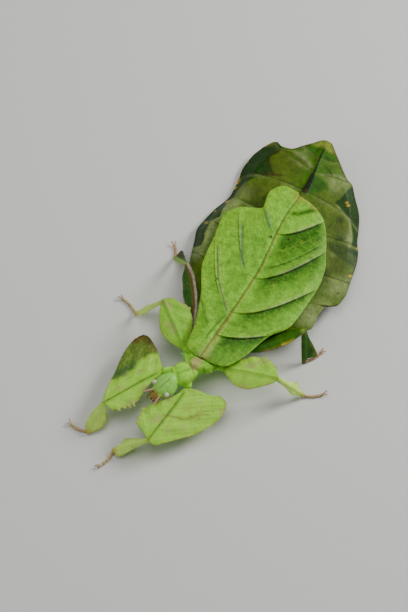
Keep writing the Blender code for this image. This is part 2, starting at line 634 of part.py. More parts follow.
FORE_SHIN = {
    "r": (((0.0, 0.0, 0.8), (0.2, 0.2, 1.3), (0.5, 0.5, 1.8), (0.8, 0.8, 1.7), (0.95, 0.97, 1.2),
           (1.0, 1.0, 0.8)),
          ((0.0, 0.0, 0.8), (0.2, 0.18, 2.0), (0.42, 0.4, 3.4), (0.6, 0.6, 3.5), (0.8, 0.82, 2.6),
           (0.93, 0.96, 1.4), (1.0, 1.0, 0.8))),
    "l": (((0.0, 0.0, 0.8), (0.25, 0.25, 0.9), (0.55, 0.55, 1.6), (0.82, 0.82, 2.4), (0.94, 0.96, 1.7),
           (1.0, 1.0, 0.8)),
          ((0.0, 0.0, 0.8), (0.15, 0.15, 1.0), (0.4, 0.42, 2.1), (0.6, 0.65, 2.8), (0.72, 0.75, 1.7),
           (0.86, 0.87, 0.95), (1.0, 1.0, 0.8))),
}
MID_SHIN = (((0.0, 0.0, 0.8), (0.25, 0.25, 0.95), (0.5, 0.5, 1.6), (0.7, 0.75, 2.7), (0.77, 0.79, 1.5),
             (0.88, 0.88, 0.85), (1.0, 1.0, 0.8)),
            ((0.0, 0.0, 0.8), (0.4, 0.4, 1.1), (0.68, 0.68, 1.8), (0.82, 0.82, 1.3), (0.92, 0.92, 0.85),
             (1.0, 1.0, 0.8)))
HIND_SHIN = (((0.0, 0.0, 0.8), (0.25, 0.22, 1.4), (0.6, 0.58, 3.1), (0.85, 0.92, 4.3), (0.93, 0.97, 3.0),
              (1.0, 1.0, 0.8)),
             ((0.0, 0.0, 0.8), (0.5, 0.5, 0.9), (1.0, 1.0, 0.8)))
# Lobe widths seen on each leg, as a share of the rows above: rear and front lobe of the thigh, shin
LOBE_SHARE = {"mid_r": (1.08, 0.84, 1.0), "hind_r": (1.0, 1.0, 0.72), "hind_l": (2.0, 0.66, 1.0)}

# Each leg: hip, knee, ankle, toe, then where the rear lobe of the thigh and of the shin points
LEGS = {
    "fore_r": ((-8.9, -7.0, 8.0), (-19.7, -24.6, 7.0), (-21.1, -33.1, ANKLE_HEIGHT),
               (-26.9, -33.3, TOE_HEIGHT), (-1, 0.6, -0.1), (-1, 0, 0)),
    "fore_l": ((0.3, -8.3, 8.0), (-2.0, -28.5, 7.0), (-11.0, -34.8, ANKLE_HEIGHT),
               (-12.3, -40.9, TOE_HEIGHT), (1, 0, -0.1), (0.5, -0.8, 0)),
    "mid_r": ((-7.1, 2.7, 8.0), (-19.4, 11.9, 12.0), (-27.5, 8.2, ANKLE_HEIGHT),
              (-34.3, 11.1, TOE_HEIGHT), (0.6, 0.8, 0), (0, 1, 0)),
    "mid_l": ((7.1, 2.7, 8.0), (23.4, 5.9, 12.0), (31.1, 9.1, ANKLE_HEIGHT),
              (36.6, 12.7, TOE_HEIGHT), (-0.2, 1, 0), (0, 1, 0)),
    "hind_r": ((-7.2, 8.6, 7.8), (-19.1, 26.2, 12.0), (-26.3, 31.2, ANKLE_HEIGHT),
               (-29.0, 35.6, TOE_HEIGHT), (0.8, 0.5, 0.8), (0.05, 0.9, 0.4)),
    "hind_l": ((7.2, 8.6, 7.8), (23.3, 23.7, 12.5), (26.2, 19.4, ANKLE_HEIGHT),
               (29.6, 25.0, TOE_HEIGHT), (-0.65, 0.76, -0.45), (1, 1, 0.2)),
}
COXA_ROOTS = {
    "fore_r": (-3.4, -4.5, 8.8), "fore_l": (-1.0, -6.0, 8.8), "mid_r": (-3.4, 2.5, 7.8),
    "mid_l": (3.4, 2.5, 7.8), "hind_r": (-3.6, 6.6, 7.6), "hind_l": (3.6, 6.6, 7.6),
}


def joint_normals(leg):
    """The planes on which hip, knee and ankle are cut, each halfway between its two lengths."""
    points = [vec(*COXA_ROOTS[leg]), *(vec(*p) for p in LEGS[leg][:4])]
    headings = [unit(b - a) for a, b in zip(points[:-1], points[1:])]
    return [unit(a + b) for a, b in zip(headings[:-1], headings[1:])]


def scaled(rows, share):
    """The rows of a lobe with their widths scaled, apart from the two joints."""
    return [(place, far, max(width * share, SHAFT_HALF)) for place, far, width in rows]


def make_leg(leg):
    """Thigh, shin and foot of one leg."""
    pair, side = leg.split("_")
    hip, knee, ankle, toe = (vec(*p) for p in LEGS[leg][:4])
    thigh_lobe, shin_lobe = LEGS[leg][4:]
    at_hip, at_knee, at_ankle = joint_normals(leg)
    thighs = {
        "fore": (FORE_OUTER[side], FORE_INNER[side], (None, (0.60, 0.97, 5, 1.0)), 0.0, 16),
        "mid": (MID_REAR, MID_FRONT, ((0.62, 0.95, 4, 0.5), None), 0.4, 11),
        "hind": (HIND_REAR, HIND_FRONT, (None, None), -1.0, 11),
    }
    shins = {"fore": FORE_SHIN[side], "mid": MID_SHIN, "hind": HIND_SHIN}
    colour = DARK_GREEN if pair == "hind" else LEAF_GREEN
    rear, front, teeth, bow, count = thighs[pair]
    rear_share, front_share, shin_share = LOBE_SHARE.get(leg, (1.0, 1.0, 1.0))
    rear, front = scaled(rear, rear_share), scaled(front, front_share)
    thigh = leaf_limb(hip, knee, thigh_lobe, rear, front, (at_hip, at_knee), teeth, bow, count)
    make(pair + "_femur_" + side, thigh, colour)
    shin_rows = [scaled(rows, shin_share) for rows in shins[pair]]
    shin = leaf_limb(knee, ankle, shin_lobe, *shin_rows, (at_knee, at_ankle), count=8)
    make(pair + "_tibia_" + side, shin, colour)
    shape, claws = foot(ankle, toe, at_ankle, FOOT_BOW[leg])
    combine(make(pair + "_tarsus_" + side, shape, TAN), claws)


def coxa(leg):
    """The short root of a leg, from inside the chest to its cut at the hip."""
    root, hip = vec(*COXA_ROOTS[leg]), vec(*LEGS[leg][0])
    normal = joint_normals(leg)[0]
    end = hip - normal * GAP / 2
    return tube([root, (root + end) / 2, end], COXA_SIZES, 8, (None, normal))


def make_thorax():
    """Three rings of the chest, each with the roots of its two legs fused on."""
    ahead, neck, waist = head_axes()[0], vec(*NECK), vec(*WAIST)
    heading = unit(neck - waist)
    at_neck, at_waist = unit(ahead + heading), unit(heading + vec(0, -1, 0))
    reach = np.linalg.norm(neck - waist)
    centres = [waist + heading * (reach * row[0]) for row in COLLAR_PROFILE]
    centres[0] = centres[0] + at_waist * GAP / 2
    centres[-1] = centres[-1] - at_neck * GAP / 2
    shape = tube(centres, [row[1:] for row in COLLAR_PROFILE], 12, (at_waist, at_neck), 0.85)
    combine(make("prothorax", shape, LEAF_GREEN), [coxa("fore_r"), coxa("fore_l")])

    length = CHEST_END - WAIST[1]
    centres, sizes = [], []
    for far, half, top, bottom in CHEST_PROFILE:
        centres.append(vec(WAIST[0] * (1 - far / length), WAIST[1] + far, (top + bottom) / 2))
        sizes.append((half, (top - bottom) / 2))
    centres[0] = centres[0] - at_waist * GAP / 2
    across, back = vec(1, 0, 0), vec(0, 1, 0)
    shape = tube(centres, sizes, 12, (at_waist, back), 0.85, across, back)
    spines = []
    for number in range(CHEST_SPINES):
        far = SPINE_START + SPINE_PITCH * number
        half = SPINE_HALF + SPINE_SPREAD * number
        middle = vec(WAIST[0] * (1 - far / length), WAIST[1] + far, SPINE_HEIGHT)
        for sign in (1, -1):
            root = middle + vec(sign * (half - SPINE_SUNK), 0, 0)
            tip = middle + vec(sign * (half + SPINE_REACH), -0.3, 0.3)
            spines.append(spine(root, tip, SPINE_RADIUS))
    chest = make("mesothorax", shape, TAN)
    combine(chest, [coxa("mid_r"), coxa("mid_l"), *spines])

    centres = [vec(0, row[0], (row[2] + row[3]) / 2) for row in HIND_CHEST_PROFILE]
    sizes = [(row[1], (row[2] - row[3]) / 2) for row in HIND_CHEST_PROFILE]
    shape = tube(centres, sizes, 12, (back, back), 0.85, across, back)
    combine(make("metathorax", shape, LEAF_GREEN), [coxa("hind_r"), coxa("hind_l")])


make_thorax()
make_head()
make_abdomen()
for wing_side in ("l", "r"):
    make_wing(wing_side)
for leg_name in LEGS:
    make_leg(leg_name)
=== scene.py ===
# %% [markdown]
# # A leaf insect at life size
# The animal is a large female of the giant leaf insect, 104 mm long, standing still on a floor.
# Her forewings lie on her back like two halves of a leaf, her abdomen is a wide thin plate with a
# ragged margin, and her legs carry flat lobes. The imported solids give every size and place, and this
# lesson makes the finer surfaces that are seen: wing veins, segments that lap, teeth, feet and claws.

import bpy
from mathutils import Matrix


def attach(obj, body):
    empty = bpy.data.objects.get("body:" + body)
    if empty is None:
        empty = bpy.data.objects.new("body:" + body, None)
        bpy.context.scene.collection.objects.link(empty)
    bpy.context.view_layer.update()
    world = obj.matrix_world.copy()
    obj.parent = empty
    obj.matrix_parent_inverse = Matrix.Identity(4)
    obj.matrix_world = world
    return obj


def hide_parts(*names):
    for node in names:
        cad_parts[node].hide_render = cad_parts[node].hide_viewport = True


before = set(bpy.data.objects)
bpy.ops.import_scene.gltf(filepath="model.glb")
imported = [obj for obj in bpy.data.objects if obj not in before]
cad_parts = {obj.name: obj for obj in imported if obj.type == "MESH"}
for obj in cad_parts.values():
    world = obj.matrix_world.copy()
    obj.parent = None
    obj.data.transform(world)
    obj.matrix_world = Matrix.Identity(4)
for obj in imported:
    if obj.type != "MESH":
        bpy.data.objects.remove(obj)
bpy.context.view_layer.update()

# %% [markdown]
# ## Units and helpers
# The shapes are worked out in millimetres in the insect's own frame, with the root of the wings near
# zero, and are moved to the floor's frame in metres when a mesh is made. Most outlines of an insect
# are smooth curves through a few measured stations. A curve object could draw each one, but a function
# over whole arrays gives widths, heights and places alike, so one function serves them all.

# %% Units
import math

import bpy
import numpy as np
from mathutils import Vector

MM = 0.001
BODY_AT = np.array((-1.06, -23.11, 0.0))
RANDOM = np.random.default_rng(7)
SIDES = (("l", 1), ("r", -1))


def vec(*xyz):
    """A point or a direction as an array."""
    return np.array(xyz, float)


def unit(v):
    """A direction divided by its length."""
    return np.asarray(v, float) / np.linalg.norm(v)


def ramp(value, low, high):
    """Zero below low, one above high, with a smooth rise between them."""
    t = np.clip((np.asarray(value, float) - low) / (high - low), 0, 1)
    return t * t * (3 - 2 * t)


def bell(distance, width, power=2):
    """A bell curve: e to the minus the power of distance over width, which has a flat top above two."""
    return np.exp(-(distance / width) ** power)


print("one unit of the shapes is", MM, "m, and their zero stands at", tuple(BODY_AT), "mm")


# %% A smooth curve through measured stations
def curve(stations, at):
    """A cubic between rows of (place, value, ...) with harmonic means as slopes, so it never overshoots."""
    rows = np.array(stations, float)
    place, value = rows[:, 0], rows[:, 1:].T
    at = np.clip(np.asarray(at, float), place[0], place[-1])
    step = np.diff(place)
    secant = np.diff(value, axis=1) / step
    product = secant[:, :-1] * secant[:, 1:]
    total = np.where(product > 0, secant[:, :-1] + secant[:, 1:], 1.0)
    slope = np.hstack([secant[:, :1], np.where(product > 0, 2 * product / total, 0.0), secant[:, -1:]])
    k = np.clip(np.searchsorted(place, at, side="right") - 1, 0, len(place) - 2)
    f = (at - place[k]) / step[k]
    found = ((1 + 2 * f) * (1 - f) ** 2 * value[:, k] + f * (1 - f) ** 2 * slope[:, k] * step[k]
             + f ** 2 * (3 - 2 * f) * value[:, k + 1] - f ** 2 * (1 - f) * slope[:, k + 1] * step[k])
    return found if len(found) > 1 else found[0]


print("a curve from 0 over 2 to 3 starts with", curve(((0, 0), (1, 2), (2, 3)), (0, 0.25, 0.5)).round(3))


# %% Marks painted on a surface: lines and spots by their place in millimetres
FAR_OFF = 1e9
POINTS_PER_STEP = 5
WAVES = 6


def to_line(x, y, start, end):
    """The nearest place on a straight line, as a share of its length, and the distance to it in mm."""
    (x0, y0), (x1, y1) = start, end
    t = np.clip(((x - x0) * (x1 - x0) + (y - y0) * (y1 - y0)) / ((x1 - x0) ** 2 + (y1 - y0) ** 2), 0, 1)
    return t, np.hypot(x - x0 - t * (x1 - x0), y - y0 - t * (y1 - y0))


def line_mark(x, y, path, width, taper=0.15):
    """One on a smooth line through the points of path, a bell curve of the distance, fading at both ends."""
    stations = [(k, *at) for k, at in enumerate(path)]
    path = curve(stations, np.linspace(0, len(path) - 1, POINTS_PER_STEP * len(path))).T
    nearest, share = np.full(np.shape(x), FAR_OFF), np.zeros(np.shape(x))
    for k, (start, end) in enumerate(zip(path[:-1], path[1:])):
        t, off = to_line(x, y, start, end)
        share = np.where(off < nearest, (k + t) / (len(path) - 1), share)
        nearest = np.minimum(nearest, off)
    return bell(nearest, width) * ramp(np.minimum(share, 1 - share), 0, taper)


def patch_mark(x, y, outline, soft):
    """One inside a closed outline and zero outside, by the signed distance to its nearest edge in mm."""
    inside, nearest = np.zeros(np.shape(x), bool), np.full(np.shape(x), FAR_OFF)
    for start, end in zip(outline, (*outline[1:], outline[0])):
        nearest = np.minimum(nearest, to_line(x, y, start, end)[1])
        (x0, y0), (x1, y1) = start, end
        if y0 != y1:
            inside ^= ((y0 > y) != (y1 > y)) & (x < x0 + (y - y0) * (x1 - x0) / (y1 - y0))
    return ramp(np.where(inside, nearest, -nearest), -soft / 2, soft / 2)


def wander(x, y, pitch, reach):
    """An irregular shift in mm: the sum of seeded sine waves of about one pitch, in all directions."""
    shift = np.zeros(np.shape(x))
    for turn, phase, size in RANDOM.uniform((0, 0, 0.7), (np.pi, 2 * np.pi, 1.5), (WAVES, 3)):
        shift = shift + np.sin((x * np.cos(turn) + y * np.sin(turn)) * 2 * np.pi / (pitch * size) + phase)
    return shift * reach / 3


def spot_mark(x, y, spots):
    """One inside round spots given as (x, y, radius), fading over their outer part."""
    mark = np.zeros(np.shape(x))
    for x0, y0, radius in spots:
        mark = np.maximum(mark, 1 - ramp(np.hypot(x - x0, y - y0), 0.55 * radius, 1.15 * radius))
    return mark


print("a spot of 1 mm is", round(float(spot_mark(0.8, 0.0, [(0, 0, 1)])), 2), "strong 0.8 mm from its centre")

# %% [markdown]
# ## From arrays to a mesh
# Nearly every piece is a row of rings: a grid of points that closes round each ring and is capped at
# both ends. Quads between neighbouring rings can be written as one array, with no loop over points.
# The sum of the faces' signed volumes tells whether they point outwards. An insect's parts taper and
# bend all the time, so rings along a path follow them more closely than boxes or balls could.

# %% Rings to one closed mesh
def ring_faces(rings):
    """Quads join point j of ring i to point j of ring i + 1; one face closes each end."""
    rows, around = rings.shape[:2]
    index = np.arange(rows * around).reshape(rows, around)
    ahead = np.roll(index, -1, axis=1)
    quads = np.stack([index[:-1], ahead[:-1], ahead[1:], index[1:]], axis=-1).reshape(-1, 4)
    points = rings.reshape(-1, 3) - rings.reshape(-1, 3).mean(axis=0)
    a, b, c, d = (points[quads[:, k]] for k in range(4))
    volume = np.einsum("ij,ij->", a, np.cross(b, c) + np.cross(c, d))
    ends = [index[0, ::-1], index[-1]]
    if volume < 0:
        quads, ends = quads[:, ::-1], [end[::-1] for end in ends]
    sizes = np.concatenate([np.full(len(quads), 4), np.full(2, around)])
    return np.concatenate([quads.ravel(), *ends]), sizes


def paint(mesh, mark, values):
    """Keep one number for each point of a mesh under the mark's name."""
    layer = mesh.attributes.new(mark, "FLOAT", "POINT")
    layer.data.foreach_set("value", np.asarray(values, np.float32))


def mesh_of(name, parts):
    """One mesh from parts of (rings, marks), in mm, which may sink into one another."""
    points, corners, sizes, first = [], [], [], 0
    for rings, _ in parts:
        loops, counts = ring_faces(rings)
        points.append(rings.reshape(-1, 3))
        corners.append(loops + first)
        sizes.append(counts)
        first += len(points[-1])
    points, corners, sizes = np.concatenate(points), np.concatenate(corners), np.concatenate(sizes)
    mesh = bpy.data.meshes.new(name)
    mesh.vertices.add(len(points))
    mesh.vertices.foreach_set("co", ((points + BODY_AT) * MM).astype(np.float32).ravel())
    mesh.loops.add(len(corners))
    mesh.loops.foreach_set("vertex_index", corners.astype(np.int32))
    mesh.polygons.add(len(sizes))
    mesh.polygons.foreach_set("loop_start", (np.cumsum(sizes) - sizes).astype(np.int32))
    mesh.update(calc_edges=True)
    mesh.validate()
    mesh.shade_smooth()
    for mark in sorted({key for _, marks in parts for key in marks}):
        values = [np.broadcast_to(marks.get(mark, 0.0), rings.shape[:2]).ravel() for rings, marks in parts]
        paint(mesh, mark, np.concatenate(values))
    return mesh


# %% A piece of the model
def settle(piece, finish, nodes):
    """Show the piece with its finish, on the model's one body, in place of the solids it stands for."""
    bpy.context.scene.collection.objects.link(piece)
    piece.data.materials.clear()
    piece.data.materials.append(finish)
    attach(piece, "root")
    if nodes:
        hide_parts(*nodes)
    print(piece.name, len(piece.data.vertices), "points,", len(piece.data.polygons), "faces")


def build(name, parts, finish, nodes=()):
    """Make one piece of the model from its rings and marks."""
    settle(bpy.data.objects.new(name, mesh_of(name, parts)), finish, nodes)


# %% A tube along a path
def sweep(path, across, above, around=24, aside=None, power=1.0, square_to=None):
    """Rings of half width and half height square to a path: cosine and sine raised to a power."""
    path = np.asarray(path, float)
    across, above = np.broadcast_to(across, len(path)), np.broadcast_to(above, len(path))
    along = np.gradient(path, axis=0) if square_to is None else np.tile(square_to, (len(path), 1))
    along = along / np.linalg.norm(along, axis=1)[:, None]
    side = np.cross(along, vec(0, 0, 1)) if aside is None else np.tile(unit(aside), (len(path), 1))
    side = side - along * np.sum(side * along, axis=1)[:, None]
    side /= np.linalg.norm(side, axis=1)[:, None]
    up = np.cross(side, along)
    turn = 2 * np.pi * (np.arange(around) + 0.5) / around
    x = np.sign(np.cos(turn)) * np.abs(np.cos(turn)) ** power
    y = np.sign(np.sin(turn)) * np.abs(np.sin(turn)) ** power
    return (path[:, None] + side[:, None] * (across[:, None] * x)[..., None]
            + up[:, None] * (above[:, None] * y)[..., None])


def bend(points, count):
    """A quadratic curve from the first to the last of three points, pulled by the middle one."""
    t = np.linspace(0, 1, count)[:, None]
    start, middle, end = (np.asarray(p, float) for p in points)
    return (1 - t) ** 2 * start + 2 * t * (1 - t) * middle + t ** 2 * end


print("a bend over (0, 0), (1, 1) and (2, 0) reaches", bend([(0, 0), (1, 1), (2, 0)], 3)[1])

# %% [markdown]
# ## Camera, floor and light
# The photo looks down on the insect from in front, a little to its left. On a flat floor that is a
# camera 65 degrees above the floor, turned 28.8 degrees round from the head, with a long lens so that
# near and far parts keep their proportions. Light could come from one sun, but large soft lamps show a
# small model's relief without hard shadows. The strongest one stands on the tail's side, because the
# wing folds in the photo throw their shade towards the head. The floor is matt paper, which gives the
# eye nothing but the shadows.

# %% Camera
CAMERA_AZIMUTH = math.radians(28.8)
CAMERA_ELEVATION = math.radians(65.0)
CAMERA_DISTANCE = 563.0
CAMERA_AIM = vec(-10.349, 21.346, 0.0)
LENS_MM = 105.0
SENSOR_MM = 36.0
NEAREST_SEEN = 0.01


def stand(item, place, toward):
    """Put a camera or a lamp at a place in mm and turn it to look in a direction."""
    item.location = place * MM
    item.rotation_mode = "QUATERNION"
    item.rotation_quaternion = Vector(toward).to_track_quat("-Z", "Y")
    bpy.context.scene.collection.objects.link(item)


flat = math.cos(CAMERA_ELEVATION)
back = vec(math.sin(CAMERA_AZIMUTH) * flat, -math.cos(CAMERA_AZIMUTH) * flat, math.sin(CAMERA_ELEVATION))
lens = bpy.data.cameras.new("view")
lens.lens, lens.sensor_width, lens.clip_start = LENS_MM, SENSOR_MM, NEAREST_SEEN
camera = bpy.data.objects.new("view", lens)
stand(camera, CAMERA_AIM + BODY_AT + back * CAMERA_DISTANCE, -back)
bpy.context.scene.camera = camera
print("camera at", tuple(round(v, 4) for v in camera.location))

# %% [markdown]
# ## Colours and finishes
# An insect's skin is cuticle: a hard, slightly waxy layer whose pigment lies under the surface, so it
# has a soft gloss over an uneven colour. A picture could be wrapped round it, but marks kept by the
# mesh stay sharp and stay in their place. One function makes it: a cloud of two ground colours, then a
# colour for each mark that the mesh carries, a net of fine cells and a grain that also make the bump.
# Colours are written as they look on a screen, in hex, and one function turns them to linear light.

# %% Colours
def linear(colour):
    """Each pair of hex digits is an sRGB value, turned to linear light by the sRGB formula."""
    parts = [int(colour[k:k + 2], 16) / 255 for k in (1, 3, 5)]
    return (*[p / 12.92 if p <= 0.04045 else ((p + 0.055) / 1.055) ** 2.4 for p in parts], 1.0)


def add(tree, kind, settings=(), links=()):
    """Add one node, set its own values and its inputs, and link sockets to its inputs."""
    node = tree.nodes.new("ShaderNode" + kind)
    for key, value in dict(settings).items():
        if isinstance(key, int) or key in node.inputs:
            node.inputs[key].default_value = value
        else:
            setattr(node, key, value)
    for key, eye_base_shade in dict(links).items():
        tree.links.new(eye_base_shade, node.inputs[key])
    return node


print("the hex colour #808080 is", round(linear("#808080")[0], 3), "in linear light")

# %% Cuticle
# Feature sizes are in mm: pigment clouds, the cells of the vein net, and the grain of the skin. The
# real net has cells near 0.6 mm on the wings, drawn about twice as coarse so that it shows. Cuticle has
# an IOR of about 1.56, close to the shader's own value, and its pigment lets a little light through.
MIX_A, MIX_B, MIX_OUT = 6, 7, 2
FRAY_SIZE = 0.9
FLECK_SPACING = 2.4
BLOTCH_SIZE = 1.7
SKIN_SHADER = {"Specular IOR Level": 0.17, "Coat Roughness": 0.35, "Subsurface Weight": 0.04,
               "Subsurface Radius": (0.6, 1.0, 0.3), "Subsurface Scale": 0.7 * MM}


def cuticle(name, ground, layers, cloud=7.0, cell=1.2, net=("#86B648", 0.25), grain=0.5, relief=0.1,
            fleck=("#C9B53A", 0.2), mottle=0.22, roughness=(0.42, 0.6), gloss=0.05):
    """Ground colours mixed by noise, one mix for each mark, a Voronoi net, flecks, mottling, and bump."""
    material = bpy.data.materials.new(name)
    material.use_nodes = True
    tree = material.node_tree
    shader = tree.nodes["Principled BSDF"]
    where = {"Vector": add(tree, "TexCoord").outputs["Object"]}
    clouds = add(tree, "TexNoise", {"Scale": 1 / (cloud * MM), "Detail": 6.0, "Roughness": 0.6}, where)
    share = add(tree, "MapRange", {"From Min": 0.35, "From Max": 0.65}, {"Value": clouds.outputs["Fac"]})
    colour = add(tree, "Mix", {"data_type": "RGBA", MIX_A: linear(ground[0]), MIX_B: linear(ground[1])},
                 {0: share.outputs["Result"]}).outputs[MIX_OUT]
    fray = add(tree, "TexNoise", {"Scale": 1 / (FRAY_SIZE * MM), "Detail": 3.0}, where).outputs["Fac"]
    ragged = add(tree, "MapRange", {"From Min": 0.25, "From Max": 0.75, "To Min": 0.7, "To Max": 1.25},
                 {"Value": fray}).outputs["Result"]
    cells = add(tree, "TexVoronoi", {"feature": "DISTANCE_TO_EDGE", "Scale": 1 / (cell * MM)}, where)
    lines = add(tree, "MapRange", {"From Min": 0.0, "From Max": 0.14, "To Min": 1.0, "To Max": 0.0},
                {"Value": cells.outputs["Distance"]}).outputs["Result"]
    dots = add(tree, "TexVoronoi", {"feature": "F1", "Scale": 1 / (FLECK_SPACING * MM)}, where)
    specks = add(tree, "MapRange", {"From Min": 0.1, "From Max": 0.24, "To Min": 1.0, "To Max": 0.0},
                 {"Value": dots.outputs["Distance"]}).outputs["Result"]
    masks = []
    for mark, tint, strength in layers:
        mask = add(tree, "Attribute", {"attribute_name": mark}).outputs["Fac"]
        torn = add(tree, "Math", {"operation": "MULTIPLY", "use_clamp": True}, {0: mask, 1: ragged})
        masks.append((torn.outputs["Value"], tint, strength))
    for mask, tint, strength in (*masks, (lines, *net), (specks, *fleck)):
        part = add(tree, "Math", {"operation": "MULTIPLY", 1: strength}, {0: mask})
        colour = add(tree, "Mix", {"data_type": "RGBA", MIX_B: linear(tint)},
                     {0: part.outputs["Value"], MIX_A: colour}).outputs[MIX_OUT]
    blotches = {"Scale": 1 / (BLOTCH_SIZE * MM), "Detail": 7.0, "Roughness": 0.65}
    patches = add(tree, "TexNoise", blotches, where).outputs["Fac"]
    spread = {"From Min": 0.3, "From Max": 0.7, "To Min": 1 - mottle, "To Max": 1 + mottle}
    light = add(tree, "MapRange", spread, {"Value": patches}).outputs["Result"]
    mottled = add(tree, "HueSaturation", {}, {"Value": light, "Color": colour})
    fine = add(tree, "TexNoise", {"Scale": 1 / (grain * MM), "Detail": 4.0}, where).outputs["Fac"]
    height = add(tree, "Math", {"operation": "MULTIPLY_ADD", 1: 0.6}, {0: lines, 2: fine}).outputs["Value"]
    bump = add(tree, "Bump", {"Strength": 0.6, "Distance": relief * MM}, {"Height": height})
    dull = add(tree, "MapRange", {"To Min": roughness[0], "To Max": roughness[1]}, {"Value": fray})
    for eye_base_shade, output in (("Base Color", mottled.outputs["Color"]), ("Normal", bump.outputs["Normal"]),
                           ("Roughness", dull.outputs["Result"])):
        tree.links.new(output, shader.inputs[eye_base_shade])
    for eye_base_shade, value in {**SKIN_SHADER, "Coat Weight": gloss}.items():
        shader.inputs[eye_base_shade].default_value = value
    print(name, "has", len(tree.nodes), "nodes")
    return material


# %% Floor and lamps
# Name, place in mm, size in mm and power in watts of each square lamp
LAMPS = (("tail_side_softbox", (330, 520, 400), 260, 4.4), ("head_side_fill", (-420, -380, 480), 600, 1.0),
         ("overhead", (-60, 60, 800), 500, 2.0))
STUDIO_GREY = "#DDE0DC"
STUDIO_LIGHT = 0.16
PAPER_WHITE = "#E9E8E3"
PAPER_ROUGHNESS = 0.9
FLOOR_HALF = 3000.0

for name, place, size, power in LAMPS:
    light = bpy.data.lights.new(name, "AREA")
    light.size, light.energy = size * MM, power
    stand(bpy.data.objects.new(name, light), vec(*place), -vec(*place))

world = bpy.data.worlds.new("studio")
world.use_nodes = True
world.node_tree.nodes["Background"].inputs["Color"].default_value = linear(STUDIO_GREY)
world.node_tree.nodes["Background"].inputs["Strength"].default_value = STUDIO_LIGHT
bpy.context.scene.world = world

floor_mesh = bpy.data.meshes.new("floor")
corners = [(x * FLOOR_HALF * MM, y * FLOOR_HALF * MM, 0.0) for x, y in ((-1, -1), (1, -1), (1, 1), (-1, 1))]
floor_mesh.from_pydata(corners, [], [(0, 1, 2, 3)])
floor = bpy.data.objects.new("floor", floor_mesh)
bpy.context.scene.collection.objects.link(floor)
paper = bpy.data.materials.new("matt_paper")
paper.use_nodes = True
paper.node_tree.nodes["Principled BSDF"].inputs["Base Color"].default_value = linear(PAPER_WHITE)
paper.node_tree.nodes["Principled BSDF"].inputs["Roughness"].default_value = PAPER_ROUGHNESS
floor_mesh.materials.append(paper)
print("floor and", len(LAMPS), "lamps in place")

# %% [markdown]
# ## Forewings
# Each forewing is a stiff green sheet, half a leaf. Its inner edge carries the tan midrib, and four
# side veins run back from it. On the insect's left wing the sheet steps up behind each vein, so the
# panels overlap like folded paper, with painted shade in a trough on the head's side of each vein,
# a painted shadow line under each step's edge and a painted highlight along it. A wing could be
# cut from a flat outline and embossed. Here it is a grid over two parameters, the place along the
# midrib and the share of the way to the margin, so veins are lines of constant place and need no
# drawing, and the step, the ridge and their painted light and shade all come from the same numbers.

# %% Sizes of the forewings
WING_THICK = 0.55
WING_HEIGHT = 12.8
WING_SLOPE = 0.072
WING_SIDE_DROOP = 1.3
WING_GAP = 0.15
WING_HALF = 19.0
WING_SWEEP = 1.7
MIDRIB_RISE = 0.4
VEIN_RISE = 0.25
SIDE_VEIN_RISE = 0.07
VEIN_STEP = 0.012
FOLD_RISE = {"l": 0.9, "r": 0.35}
FOLD_FADE = 0.45
VEINS = (0.15, 0.30, 0.54, 0.78)
SIDE_VEINS = (0.22, 0.38, 0.46, 0.62, 0.70, 0.86, 0.93)
# The midrib as (y, x)
WING_MIDLINE = ((0.6, 0.2), (12.0, 0.6), (27.0, 1.2), (36.0, 1.3), (43.0, 0.7), (51.0, -0.2), (58.0, -0.6),
                (66.7, 0.0))
# Rows of (place along the midrib, y of the midrib, x and y of the left margin and of the right one)
WING_ROWS = (
    (0.00, 0.6, 1.9, 0.6, -1.9, 0.6),
    (0.05, 2.6, 7.0, 1.6, -5.9, 2.4),
    (0.10, 6.0, 10.9, 7.0, -7.3, 10.0),
    (0.15, 9.2, 14.3, 17.0, -10.8, 20.0),
    (0.22, 13.5, 18.8, 25.0, -15.8, 30.5),
    (0.30, 18.5, 19.8, 39.5, -17.3, 41.0),
    (0.42, 25.5, 18.9, 46.5, -18.5, 48.6),
    (0.54, 32.5, 16.3, 52.6, -15.6, 53.8),
    (0.66, 41.0, 13.6, 58.0, -11.9, 55.5),
    (0.78, 50.0, 10.9, 62.0, -8.6, 57.5),
    (0.90, 59.0, 6.6, 65.1, -9.6, 63.4),
    (0.96, 63.5, 3.2, 66.2, -5.8, 68.0),
    (1.00, 66.6, 0.9, 66.5, -1.2, 67.7),
)
WING_GRID = (360, 96)
RIB_LAP = 0.35
RIB_DEPTH = 0.32
RIB_SEAT = 0.42
# Half width of the midrib by place, and how far the bases of the wings are lowered
RIB_HALF = ((0.0, 0.8), (0.1, 0.6), (0.3, 0.42), (0.7, 0.28), (1.0, 0.18))
BASE_DROP = 0.9
# Half width of the tan along the midrib by y, and how far the shade reaches ahead of each vein
BASE_HALF = ((0.0, 2.1), (5.0, 1.3), (14.0, 0.8), (26.0, 0.45), (68.0, 0.3))
SHADE_REACH = (7.5, 5.6, 5.6, 13.0)
# Painted shade of small folds as (place, strength)
SMALL_FOLDS = ((0.61, 0.95), (0.9, 1.0))
# How far the painted light reaches behind each vein, in mm
BRIGHT_REACH = 2.6
CREASE_DEPTH = 0.2
BLUE_CREASE_DEPTH = 0.15
RIGHT_STRENGTH = 0.25
# Creases of the right wing and of the wing bases, as points on the wing in mm
LONG_CREASE = ((-12.4, 49.8), (-9.2, 43.8), (-6.7, 39.1), (-2.9, 33.6))
OUTER_CREASE = ((-15.4, 39.3), (-12.3, 33.4), (-8.4, 27.0), (-2.9, 20.6), (0.4, 17.2))
TIP_CREASE = ((-7.6, 57.0), (-4.9, 53.7), (-2.4, 51.2))
EDGE_CREASE = ((-9.3, 18.1), (-6.4, 14.6), (-3.0, 11.1))
BASE_CREASE = ((0.1, 18.7), (-1.2, 13.7), (-1.9, 8.8), (-2.0, 6.2))
TIP_RIM = ((-2.2, 66.9), (0.6, 66.7), (3.4, 66.1), (5.8, 65.3), (7.8, 64.3))
